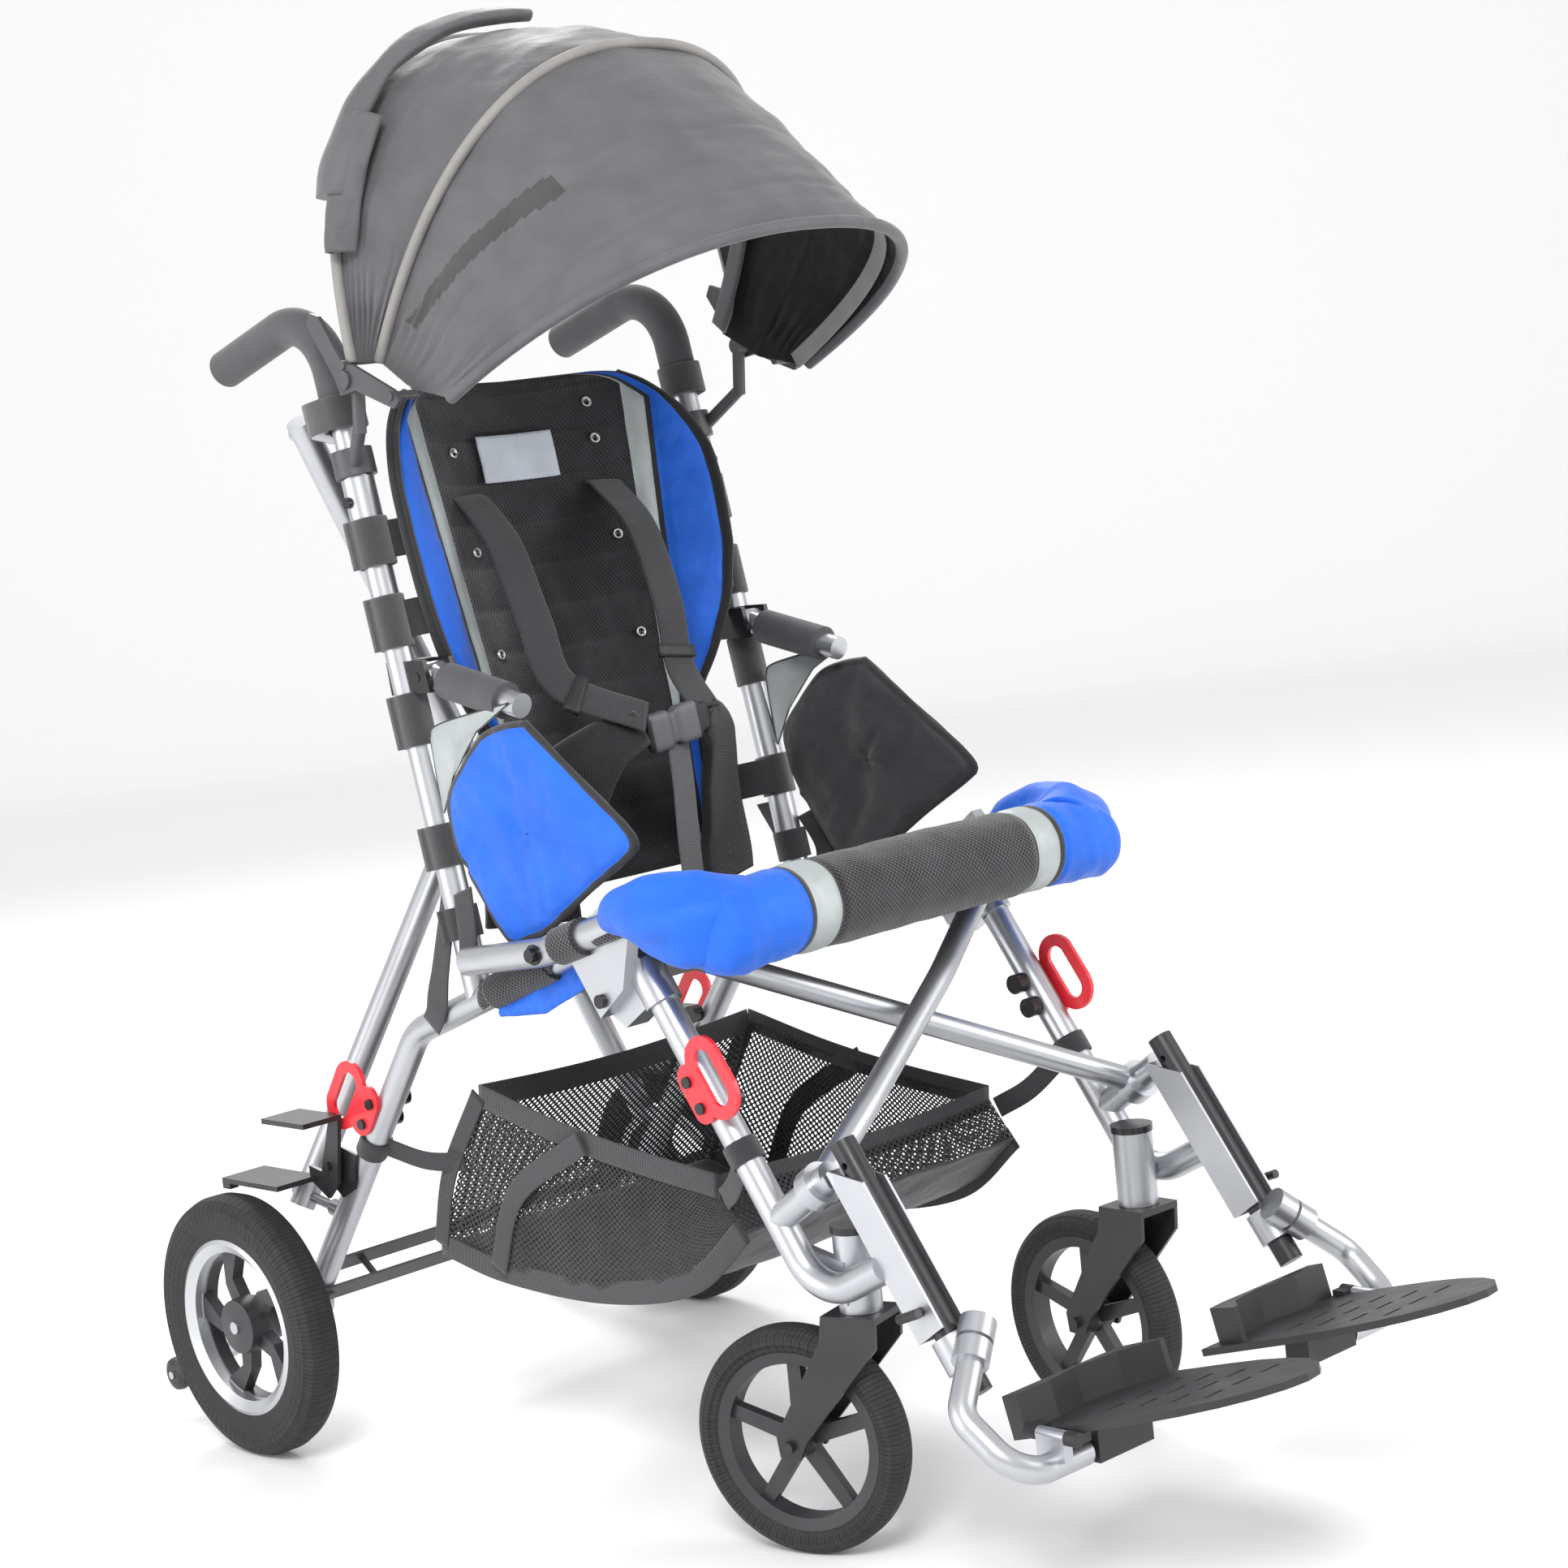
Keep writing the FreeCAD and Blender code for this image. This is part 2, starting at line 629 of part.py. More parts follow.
def frame_hardware(armrest_mount):
    """Bolts, nuts, washers, clamp knob and brackets that stay with the side frame."""
    outside = rail_side + tube_radius
    pivot = (size("pivot_back"), size("pivot_height"))
    hook_x = side + tube_radius + size("weld_gap") + 4
    pieces = [disc("PivotWasher", outside, pivot, "9", 2), disc("PivotBolt", outside + 2, pivot, "6", 5)]
    spacer_width = size("rail_gap") - 2 * size("weld_gap")
    pieces.append(disc("PivotSpacer", side + tube_radius + size("weld_gap"), pivot, "9", spacer_width))
    pieces.append(disc("BracketBolt", rail_side, on_lean(stub_foot, leg_lean, 236, -37), "6", 5))
    for point in HOOK_BOLTS:
        pieces.append(disc("HookBolt", hook_x, point, "5", 3))
    for nut in HOOK_BOLTS:
        pieces.append(rod("RoundNut", (side - tube_radius - 12, *nut), (side - tube_radius, *nut), "9"))
    bracket_x = side + tube_radius + size("weld_gap")
    pieces.append(brake_bracket(bracket_x))
    pieces.append(disc("BrakePin", bracket_x + 3, BRAKE_PIVOT, "4", 12))
    pieces.append(disc("SleeveBolt", side + size("sleeve_diameter") / 2, on_post(419), "5", 4))
    hanger_top = (size("hanger_top_back"), size("hanger_top_height"))
    knob = on_lean(hanger_top, size("hanger_lean"), -150)
    knob_x = size("hanger_side") + slim_radius + size("weld_gap") + 2.5
    pieces.append(fused("ClampKnob", [disc("KnobShank", knob_x, knob, "4", 16),
                                      rod("KnobBar", (knob_x + 14, knob[0] - 11, knob[1] + 4),
                                          (knob_x + 14, knob[0] + 11, knob[1] - 4), "4")]))
    cap_height = size("housing_bottom") + size("housing_length")
    stem = (size("stem_side"), size("stem_back"))
    pieces.append(rod("HousingCap", (*stem, cap_height), (*stem, cap_height + 6),
                      "Sizes.housing_radius + 1"))
    pieces.append(armrest_mount)
    both_sides(group("FrameHardware", pieces), "frame_hardware")


def rear_wheel():
    """Rim with five curved spokes and a hub, on the stub axle; the tyre is a ring round it."""
    outside, width = size("wheel_outside"), size("tyre_width")
    inside = outside - width
    rim = size("rim_radius")
    face = Placement(Vector(inside, *axle), Rotation(Vector(0, 1, 0), 90))
    ring = turned("Rim", [(rim - 13, 6), (rim - 4, 2), (rim, 4), (rim, width - 4), (rim - 4, width - 2),
                          (rim - 13, width - 8)], face)
    bore = size("axle_radius") + size("fit_gap")
    hub_start = side + tube_radius + 5 - inside
    hub = turned("Hub", [(bore, hub_start), (17, hub_start), (24, 6), (28, 16), (26, width - 6),
                         (bore, width - 4)], face)
    pieces = [ring, hub]
    for index in range(5):
        turn = math.radians(72 * index)
        spoke = []
        for radius, swirl in ((22, -0.5), (45, -0.30), (rim - 10, -0.02), (rim - 10, 0.32), (45, 0.02),
                              (22, 0.3)):
            spoke.append((axle[0] + radius * math.cos(turn + swirl),
                          axle[1] + radius * math.sin(turn + swirl)))
        pieces.append(plate("Spoke", spoke, "12", str(inside + 12)))
    both_sides(fused("RearWheel", pieces), "rear_wheel")
    tyre = size("wheel_radius")
    profile = [(rim, 4), (rim + 14, 0), (tyre - 12, 0), (tyre - 3, 5), (tyre, 13), (tyre, width - 13),
               (tyre - 3, width - 5), (tyre - 12, width), (rim + 14, width), (rim, width - 4)]
    both_sides(turned("RearTyre", profile, face), "rear_tyre")


def caster(name, sign, yaw):
    """Fork, wheel and tyre of one caster, turned to its rest yaw about the stem."""
    place = Placement(Vector(sign * size("stem_side"), size("stem_back"), 0), Rotation(Vector(0, 0, 1), yaw))
    trail, radius = size("caster_trail"), size("caster_radius")
    gap, thick = size("fork_gap"), size("fork_thickness")
    crown_top = size("housing_bottom") - size("weld_gap")
    crown = plate("Crown", [(-24, crown_top), (26, crown_top), (26, crown_top - 6), (-24, crown_top - 6)],
                  str(2 * (gap + thick)), midplane=True)
    cheek = [(-24, crown_top), (26, crown_top), (30, crown_top - 22), (trail + 12, radius + 8),
             (trail + 10, radius - 10),
             (trail - 8, radius - 12), (trail - 16, radius + 4), (-22, crown_top - 26)]
    cheeks = [plate("Cheek", cheek, str(thick), str(offset)) for offset in (gap, -gap - thick)]
    stem_top = size("housing_bottom") + size("housing_length") - 12
    stem = rod("Stem", (0, 0, crown_top - 4), (0, 0, stem_top), "Sizes.stem_radius")
    pin = rod("CasterAxle", (-gap - thick - 5, trail, radius), (gap + thick + 5, trail, radius), "5")
    fork = fused("CasterFork", [crown, stem, pin] + cheeks)
    fork.Placement = place
    keep(fork, name + "_caster_fork")
    rim, width = size("caster_rim_radius"), size("caster_tyre_width")
    lay = Placement(Vector(-width / 2, trail, radius), Rotation(Vector(0, 1, 0), 90))
    ring = turned("CasterRim", [(rim - 10, 6), (rim, 4), (rim, width - 4), (rim - 10, width - 6)], lay)
    bore = 5 + size("fit_gap")
    hub = turned("CasterHub",
                 [(bore, -3), (10, -3), (14, 6), (14, width - 6), (10, width + 3), (bore, width + 3)], lay)
    pieces = [ring, hub]
    for index in range(5):
        turn = math.radians(72 * index + 18)
        spoke = []
        for reach, half in ((10, 7), (rim - 6, 6), (rim - 6, -6), (10, -7)):
            spoke.append((trail + reach * math.cos(turn) - half * math.sin(turn),
                          radius + reach * math.sin(turn) + half * math.cos(turn)))
        pieces.append(plate("CasterSpoke", spoke, "10", "-5"))
    wheel = fused("CasterWheel", pieces)
    wheel.Placement = place
    keep(wheel, name + "_caster_wheel")
    profile = [(rim, 4), (rim + 8, 0), (radius - 8, 0), (radius - 2, 5), (radius, 10), (radius, width - 10),
               (radius - 2, width - 5), (radius - 8, width), (rim + 8, width), (rim, width - 4)]
    tyre = turned("CasterTyre", profile, place.multiply(lay))
    keep(tyre, name + "_caster_tyre")


def brake_lever():
    """Lever with an upper pedal to set the brake and a lower bar that presses on the tyre."""
    x = side + tube_radius + size("weld_gap") + 7.5
    outline = [(352, 330), (366, 330), (390, 272), (410, 276), (410, 262), (384, 246), (366, 262)]
    body = plate("LeverPlate", outline, "4", str(x), holes=[(BRAKE_PIVOT, "4 + Sizes.fit_gap")])
    pedal = block("BrakePedal", (x, 352, 325), (x + 44, 420, 330))
    shoe_end = wheel_inside + 14
    shoe = block("BrakeShoe", (x, 400, 262), (shoe_end, 492, 267))
    toe = block("BrakeToe", (wheel_inside + 4, 480, 256.5), (shoe_end, 492, 264))
    both_sides(fused("BrakeLever", [body, pedal, shoe, toe]), "brake_lever")


def hanger_place(along, out=0.0):
    """(y, z) of a place down the hanger tube."""
    return on_lean((size("hanger_top_back"), size("hanger_top_height")), size("hanger_lean"), -along, out)


def hanger_tube():
    """Black tube that sets the footplate's height, and the foot tube clamped to its lower end."""
    x = size("hanger_side")
    low = hanger_place(size("hanger_length"))
    tube_piece = rod("HangerTube", at_side(x, hanger_place(0)), at_side(x, low), SLIM + " / 2")
    holes = []
    for along in range(20, 110, 15):
        place = hanger_place(along)
        holes.append(rod("HangerHole", (x - 20, *place), (x + 20, *place), "3"))
    both_sides(cut("HangerDrilled", tube_piece, fused("HangerHoles", holes)), "hanger_tube")
    spread = x - 8
    start = (spread, *hanger_place(182, 24))
    run_back, run_height = size("foot_run_back"), size("foot_run_height")
    path = [start, (246, run_back + 52, run_height + 43), (240, run_back, run_height),
            (168, run_back, run_height)]
    edges = rounded_edges(path, [24, 34])
    wire = Part.Wire([edge.toShape() for edge in edges])
    ring = Part.Wire(Part.makeCircle(slim_radius, Vector(*start), Vector(*path[1]) - Vector(*start)))
    pipe = shape_piece("FootTubePipe", wire.makePipeShell([ring], True, False))
    slope = (Vector(*path[1]) - Vector(*start)).normalize()
    collars = []
    for first, last in ((-6, 12), (15, 33)):
        a, b = Vector(*start) + slope * first, Vector(*start) + slope * last
        collars.append(rod("Collar", tuple(a), tuple(b), "15"))
    saddle = rod("Saddle", at_side(x, hanger_place(176)), at_side(x, hanger_place(204)), "15.5")
    saddle_hole = rod("SaddleHole", at_side(x, hanger_place(170)), at_side(x, hanger_place(210)),
                      SLIM + " / 2")
    lug = block("HingeLug", (hinge_side - 5, run_back - 14, run_height + 4),
                (hinge_side + 5, run_back + 14, hinge_height))
    barrel = rod("HingeBarrel", (hinge_side, run_back - 14, hinge_height),
                 (hinge_side, run_back + 14, hinge_height),
                 "5.5")
    lug_bore = rod("LugBore", (hinge_side, run_back - 20, hinge_height),
                   (hinge_side, run_back + 20, hinge_height),
                   "3 + Sizes.fit_gap")
    foot = cut("FootTube", fused("FootTubeWelded", [pipe, lug, barrel, saddle] + collars),
               fused("FootBores", [saddle_hole, lug_bore]))
    both_sides(foot, "foot_tube")


def footplate():
    """Moulded footplate with a curved heel wall; it flips up sideways about a pin along Y."""
    x_out, width = size("plate_outside"), size("plate_width")
    length, thick = size("plate_length"), size("plate_thickness")
    centre = x_out - width / 2
    outline = [(x_out, 0), (x_out, -90)]
    for step in range(1, 12):
        angle = math.radians(15 * step)
        outline.append((centre + width / 2 * math.cos(angle), -90 - (length - 90) * math.sin(angle)))
    outline += [(x_out - width, -90), (x_out - width, 0)]
    sole = plate("Sole", outline, str(thick), "0", role="XY_Plane")
    wall = [(x_out, 0), (x_out, -16), (centre + 40, -16), (centre, -6), (centre - 40, -16),
            (centre - 66, -40),
            (centre - 72, -40), (centre - 60, -4), (centre - 40, 0)]
    heel = plate("HeelWall", wall, str(size("heel_wall")), "0", role="XY_Plane")
    slots = []
    for row in range(4):
        for column in range(3):
            low = (centre - 48 + 34 * column, -70 - 34 * row, -1)
            slots.append(block("Slot", low, (low[0] + 22, low[1] + 5, thick + 1)))
    board = cut("SlottedSole", fused("SoleAndHeel", [sole, heel]), fused("Slots", slots))
    board.Placement = Placement(Vector(0, size("plate_heel_back"), size("plate_heel_height")),
                                Rotation(Vector(1, 0, 0), -size("plate_pitch")))
    run_back, run_height = size("foot_run_back"), size("foot_run_height")
    rib = block("Rib", (100, run_back - 12, run_height - 9), (164, run_back + 12, run_height + 23))
    knuckles = []
    for low, high in ((-26, -14.5), (14.5, 26)):
        knuckle = rod("Knuckle", (hinge_side, run_back + low, hinge_height),
                      (hinge_side, run_back + high, hinge_height), "6")
        web = block("KnuckleWeb", (hinge_side - 14, run_back + low, hinge_height - 4),
                    (hinge_side, run_back + high, hinge_height + 4))
        knuckles += [knuckle, web]
    pin = rod("FlipPin", (hinge_side, run_back - 26, hinge_height),
              (hinge_side, run_back + 26, hinge_height), "3")
    both_sides(fused("Footplate", [board, rib, pin] + knuckles), "footplate")


def front_braces():
    """Two crossing tubes, each turning on a collar round one leg's stub; the right one bows forward."""
    rise = size("front_brace_rise")
    run = side + size("brace_end_side")
    length = math.hypot(run, rise)
    climb = math.degrees(math.atan2(rise, run))
    ring_radius = stub_radius + size("fit_gap") + size("collar_wall")
    for name, sign in (("left", 1), ("right", -1)):
        lift = size(name + "_brace_lift")
        end = size("brace_tip_lift") - lift
        points, bends = [(ring_radius - 3, 0), (length, end)], []
        if name == "right":
            points, bends = [(ring_radius - 3, 0), (95, 9), (275, 9), (length, end)], [150, 150]
        tube_piece = bent_tube("Brace", points, bends, SLIM, None, 0.0)
        half = size("collar_width") / 2
        collar = rod("BraceCollar", (0, 0, -half), (0, 0, half), str(ring_radius))
        bolt = rod("BraceBolt", (0, length - 16, end), (0, length - 16, end + slim_radius + 4), "6")
        bore = rod("CollarBore", (0, 0, -20), (0, 0, 20), str(stub_radius) + " + Sizes.fit_gap")
        brace = cut("FrontBrace", fused("BraceWelded", [tube_piece, collar, bolt]), bore)
        brace_frame = line_frame(at_side(sign * side, on_lean(stub_foot, leg_lean, 0, lift)), leg_lean)
        inward = Rotation(Vector(0, 0, 1), sign * (90 - climb))
        brace.Placement = brace_frame.multiply(Placement(Vector(), inward))
        keep(brace, name + "_front_brace")


def rear_braces():
    """Two crossing tubes behind the posts, each turning on a pin in a boss on one rear leg."""
    rise = size("rear_brace_rise")
    run = 2 * side
    length = math.hypot(run, rise)
    climb = math.degrees(math.atan2(rise, run))
    for name, sign in (("left", 1), ("right", -1)):
        foot = rear_brace_foot(name)
        tube_piece = rod("RearTube", (0, -12, 0), (0, length + 12, 0), TUBE + " / 2")
        cap = rod("RearCap", (0, length + 12, 0), (0, length + 16, 0), TUBE + " / 2 + 0.2")
        bolt = rod("RearBolt", (0, length, -tube_radius - 6), (0, length, 0), "7")
        reach = 36 if name == "left" else 36 + tube + size("rail_gap")
        pin = rod("RearPin", (0, 0, -tube_radius - 5), (0, 0, reach), "Sizes.rear_pin_radius")
        brace = fused("RearBrace", [tube_piece, cap, bolt, pin])
        inward = Rotation(Vector(0, 0, 1), (90 - climb) * sign)
        brace.Placement = line_frame(at_side(sign * side, foot), -size("rear_brace_lean")).multiply(
            Placement(Vector(), inward))
        keep(brace, name + "_rear_brace")


def crossbars():
    """Two folding halves of two flat bars and a rod, pinned to the rear legs, meeting at the middle."""
    up = size("crossbar_up")
    deep, thick = size("bar_depth"), size("bar_thickness")
    for name, sign, step in (("left", 1, thick + size("bar_gap")), ("right", -1, 0.0)):
        offset = tube_radius + size("bar_gap") + step
        middle = -sign * (side + 12)
        outline = [(sign * 10, -deep / 2), (middle, -deep / 2), (middle, deep / 2), (sign * 10, deep / 2)]
        bars = [plate("FlatBar", outline, "Sizes.bar_thickness", low, role="XY_Plane")
                for low in (offset, -offset - thick)]
        reach = offset + thick
        spacer = rod("SpacerRod", (-sign * 58, 0, -reach), (-sign * 58, 0, reach), "3.5")
        pin = rod("CrossbarPin", (0, 0, -reach - 3), (0, 0, reach + 3), "Sizes.crossbar_pin_radius")
        half = fused("CrossbarHalf", bars + [spacer, pin])
        half.Placement = line_frame(at_side(sign * side, on_lean(axle, rear_lean, up)), rear_lean)
        keep(half, name + "_crossbar")


def canopy_clamp():
    """Clamp on the post with a rod that carries the canopy's pivot."""
    arm_in, arm_thick = size("arm_side"), size("arm_thickness")
    post_point = post_at(932)
    pivot = (size("canopy_back"), size("canopy_height"))
    ring = rod("ClampRing", at_side(side, post_at(920)), at_side(side, post_at(944)), "19")
    hole = rod("ClampHole", at_side(side, post_at(915)), at_side(side, post_at(965)),
               TUBE + " / 2 + Sizes.fit_gap")
    tongue = rod("ClampTongue", (side + 8, post_point[0] - 12, 932), (arm_in - 9, pivot[0] + 6, 962), "6")
    stalk = rod("ClampStalk", (arm_in - 9, pivot[0] + 6, 958), (arm_in - 9, *pivot), "6")
    boss = rod("PivotBoss", (arm_in - 14, *pivot), (arm_in - 0.4, *pivot), "8")
    pin = rod("PivotPin", (arm_in - 10, *pivot), (arm_in + arm_thick + 2, *pivot), "4")
    rivet = rod("PivotRivet", (arm_in + arm_thick + 0.4, *pivot), (arm_in + arm_thick + 3, *pivot), "8")
    both_sides(cut("CanopyClamp", fused("ClampWelded", [ring, tongue, stalk, boss, pin, rivet]), hole),
               "canopy_clamp")


def canopy_arms():
    """Pressed link plate with a rear arm up the rear bow and a front arm along the cover's hem."""
    pivot = (size("canopy_back"), size("canopy_height"))
    outline = [(-12, -10), (10, -13), (16, 2), (48, 52), (42, 62), (30, 58), (2, 14), (-12, 12), (-66, -14),
               (-72, -24), (-64, -30)]
    points = [(pivot[0] + y, pivot[1] + z) for y, z in outline]
    arm_in, arm_thick = size("arm_side"), size("arm_thickness")
    link = plate("ArmPlate", points, "Sizes.arm_thickness", "Sizes.arm_side",
                 holes=[(pivot, "4 + Sizes.fit_gap")])
    rivets = []
    for place, inner in (((pivot[0] + 1, pivot[1] + 13), 232.3), ((pivot[0] - 62, pivot[1] - 19), 215.0)):
        rivets.append(rod("ArmRivet", (inner, *place), (arm_in + arm_thick + 2, *place), "4"))
    both_sides(fused("CanopyArms", [link] + rivets), "canopy_arms")


ARCH_STEPS = 16
FOOT_CROWDING = 0.85


def arch(base, half_width, height, tilt, power, inset=0.0):
    """Superellipse arch over the pivot line, as points from left foot to right foot, closer near the feet."""
    points = []
    s, c = math.sin(math.radians(tilt)), math.cos(math.radians(tilt))
    for step in range(ARCH_STEPS + 1):
        share = step / ARCH_STEPS
        angle = math.pi * (share - FOOT_CROWDING * math.sin(2 * math.pi * share) / (2 * math.pi))
        x = math.copysign(abs(math.cos(angle)) ** (2 / power), math.cos(angle)) * (half_width - inset)
        up = math.sin(angle) ** (2 / power) * (height - inset) if 0 < step < ARCH_STEPS else 0.0
        points.append(Vector(x, base[0] - up * s, base[1] + up * c))
    return points


CANOPY_ARCHES = ((-1, 12, 232, 289, -7, 2.6), (-2, 12, 222, 296, 13, 2.5), (-6, 12, 207, 296, 32, 2.42),
                 (-50, -14, 211, 288, 50, 2.4), (-108, -27, 213, 279, 66.5, 2.3))


def arch_edge(points):
    curve = Part.BSplineCurve()
    curve.interpolate(points)
    return curve.toShape()


def canopy():
    """Thin cover lofted through the rear bow, middle bow and visor hem, and the two bows inside it."""
    base = (size("canopy_back"), size("canopy_height"))
    wires = []
    for back, up, half, height, tilt, power in CANOPY_ARCHES:
        foot = (base[0] + back, base[1] + up)
        outer = arch(foot, half, height, tilt, power)
        inner = arch(foot, half, height, tilt, power, size("fabric"))
        ends = [Part.LineSegment(outer[-1], inner[-1]).toShape(),
                Part.LineSegment(inner[0], outer[0]).toShape()]
        wires.append(Part.Wire([arch_edge(outer), ends[0], arch_edge(inner[::-1]), ends[1]]))
    keep(shape_piece("CanopyCover", Part.makeLoft(wires, True, True)), "canopy_cover")
    bows = []
    bow_radius = size("bow_diameter") / 2
    places = ((CANOPY_ARCHES[0], bow_radius + 0.1, bow_radius + 0.5),
              (CANOPY_ARCHES[2], -4, size("fabric") + bow_radius + 4))
    for (back, up, half, height, tilt, power), shift, inset in places:
        points = arch((base[0] + back + shift, base[1] + up), half, height, tilt, power, inset)
        spine = Part.Wire([arch_edge(points)])
        ring = Part.Wire(Part.makeCircle(bow_radius, points[0], points[1] - points[0]))
        bows.append(shape_piece("Bow", spine.makePipeShell([ring], True, False)))
    keep(group("CanopyBows", bows), "canopy_bows")


def strip(name, start, end, width, thick, across=(0, 0, 1)):
    """Flat webbing between two points; its width runs as nearly as possible along 'across'."""
    start, end = Vector(*start), Vector(*end)
    along = (end - start).normalize()
    normal = along.cross(Vector(*across)).normalize()
    wide = normal.cross(along)
    band = doc.addObject("Part::Box", name)
    band.Length, band.Width, band.Height = (end - start).Length, width, thick
    corner = start - wide * (width / 2) - normal * (thick / 2)
    band.Placement = Placement(corner, Rotation(along, wide, normal, "XYZ"))
    return band


def seat():
    """Sling between the side rails and the padded roll across its front, which takes the rails' ends."""
    inner = side - tube_radius - size("weld_gap")
    thick = size("sling_thickness")
    roll = (size("roll_back"), size("roll_height"))
    line = [(140, 478), (60, 476), (-40, 500), (-185, 532)]
    outline = line + [(y, z + thick) for y, z in reversed(line)]
    cloth = plate("SlingCloth", outline, str(2 * inner), "0", midplane=True)
    half, radius = size("roll_half"), size("roll_diameter") / 2
    room = rod("RollRoom", (-half - 5, *roll), (half + 5, *roll), "Sizes.roll_diameter / 2")
    keep(cut("SeatSling", cloth, room), "seat_sling")
    lay = Placement(Vector(-half, *roll), Rotation(Vector(0, 1, 0), 90))
    bolster = turned("RollSolid",
                     [(0, 0), (radius - 14, 0), (radius - 3, 10), (radius, 26), (radius, 2 * half - 26),
                                   (radius - 3, 2 * half - 10), (radius - 14, 2 * half), (0, 2 * half)], lay)
    knee_point = (size("upper_knee"), size("upper_knee_height"))
    front = (size("upper_front"), size("upper_front_height"))
    room_end = (front[0] - 1, front[1] - 0.2)
    bores = [rod("RailRoom", (sign * rail_side, *knee_point), (sign * rail_side, *room_end),
                 TUBE + " / 2 + Sizes.weld_gap") for sign in (1, -1)]
    keep(cut("SeatRoll", bolster, fused("RailRooms", bores)), "seat_roll")


def side_pads():
    """Side pads: a flat outline with a tab that stands on the lower seat rail."""
    outline = [(29, 697), (94, 684), (150, 634), (143, 581), (85, 503), (27, 516), (-88, 580), (-102, 597)]
    thick = size("side_pad_thickness")
    low = size("side_pad_side") - thick / 2
    pad_solid = plate("PadPlate", outline, "Sizes.side_pad_thickness", str(low))
    tab = plate("PadTab", [(40, 520), (74, 512), (74, 476), (40, 488)], "Sizes.side_pad_thickness", str(low))
    rail_front = (size("rail_front"), size("rail_front_height"))
    room = rod("PadRailRoom", at_side(side, knee), at_side(side, rail_front), TUBE + " / 2 + Sizes.weld_gap")
    both_sides(cut("SidePad", fused("PadWithTab", [pad_solid, tab]), room), "side_pad")


def back_pad():
    """Back pad with side wings: an outline cut from a shell that curves round the occupant."""
    radius, thick = size("pad_radius"), size("pad_thickness")
    outline = [(-118, 520), (118, 520), (168, 476), (190, 426), (190, 330), (160, 232), (128, 190),
               (120, 38),
               (-120, 38), (-128, 190), (-160, 232), (-190, 330), (-190, 426), (-168, 476)]
    blank = plate("PadOutline", outline, "200", "-100", role="XY_Plane")
    outer = rod("PadOuter", (0, 0, radius - 30), (0, 600, radius - 30), str(radius + thick / 2))
    inner = rod("PadInner", (0, -10, radius - 30), (0, 610, radius - 30), str(radius - thick / 2))
    shell = doc.addObject("Part::Common", "PadShell")
    shell.Base = blank
    shell.Tool = cut("PadRing", outer, inner)
    bands, rooms = [], []
    for sign in (1, -1):
        for low, high, reach, front in ((334, 378, 148, 4), (82, 122, 112, -9)):
            bands.append(block("BandTab", sorted_low(sign * reach, sign * (side - 8), low, front),
                               sorted_high(sign * reach, sign * (side - 8), high, front + 6)))
            bands.append(rod("BandRing", (sign * side, low, 0), (sign * side, high, 0), "15.5"))
        rooms.append(rod("PostRoom", (sign * side, 0, 0), (sign * side, 600, 0),
                         TUBE + " / 2 + Sizes.weld_gap"))
    strapped = cut("BackPad", fused("PadWithBands", [shell] + bands), fused("PostRooms", rooms))
    strapped.Placement = line_frame((0, *post_foot), post_lean)
    keep(strapped, "back_pad")


def sorted_low(x1, x2, y, z):
    return (min(x1, x2), y, z)


def sorted_high(x1, x2, y, z):
    return (max(x1, x2), y, z)


def harness():
    """Shoulder straps, crotch strap and buckle, running from the back pad and the sling."""
    buckle = (8.0, 84.0, 664.0)
    pieces = [block("Buckle", (buckle[0] - 38, buckle[1] - 8, buckle[2] - 18),
                    (buckle[0] + 38, buckle[1] + 8, buckle[2] + 18))]
    for sign in (1, -1):
        path = [(237, 898), (232, 893), (120, 730), (84, buckle[2] + 18)]
        outline = path + [(y - 3, z) for y, z in reversed(path)]
        pieces.append(plate("ShoulderStrap", outline, "30", str(sign * 66 - 15)))
    crotch = [(84, buckle[2] - 18), (60, 486.3), (57, 487), (81, buckle[2] - 18)]
    pieces.append(plate("CrotchStrap", crotch, "34", "-9"))
    keep(group("Harness", pieces), "harness")


def basket():
    """Open mesh tray below the seat, hung by four webbing straps that loop round the legs."""
    half, wall = size("basket_half"), size("fabric")
    rim_back, rim_front = (215, 345), (-110, 296)
    outer = [rim_back, (296, 196), (200, 178), (0, 182), (-80, 206), (-136, 259), rim_front]
    inner = [(216, 400), (290, 199), (199, 178 + wall), (1, 182 + wall), (-78, 206 + wall), (-131, 260),
             (-106, 400)]
    solid = plate("BasketOuter", outer, str(2 * half), "0", midplane=True)
    hollow = plate("BasketInner", inner, str(2 * half - 2 * wall), "0", midplane=True)
    tray = cut("BasketTray", solid, hollow)
    pieces, rooms = [], []
    hangings = ((axle, rear_lean, 217.5, (247, 276)), (stub_foot, leg_lean, 62, (-118, 280)))
    for sign in (1, -1):
        for origin, lean, middle, corner in hangings:
            low, high = on_lean(origin, lean, middle - 10), on_lean(origin, lean, middle + 10)
            pieces.append(rod("StrapLoop", (sign * side, *low), (sign * side, *high), "15.5"))
            rooms.append(rod("LegRoom", (sign * side, *on_lean(origin, lean, middle - 40)),
                             (sign * side,
                              *on_lean(origin, lean, middle + 40)), TUBE + " / 2 + Sizes.weld_gap"))
            pieces.append(strip("Strap", (sign * (half - 2), *corner),
                                (sign * side, *on_lean(origin, lean, middle)),
                                20, wall))
    keep(cut("Basket", fused("BasketHung", [tray] + pieces), fused("LegRooms", rooms)), "basket")


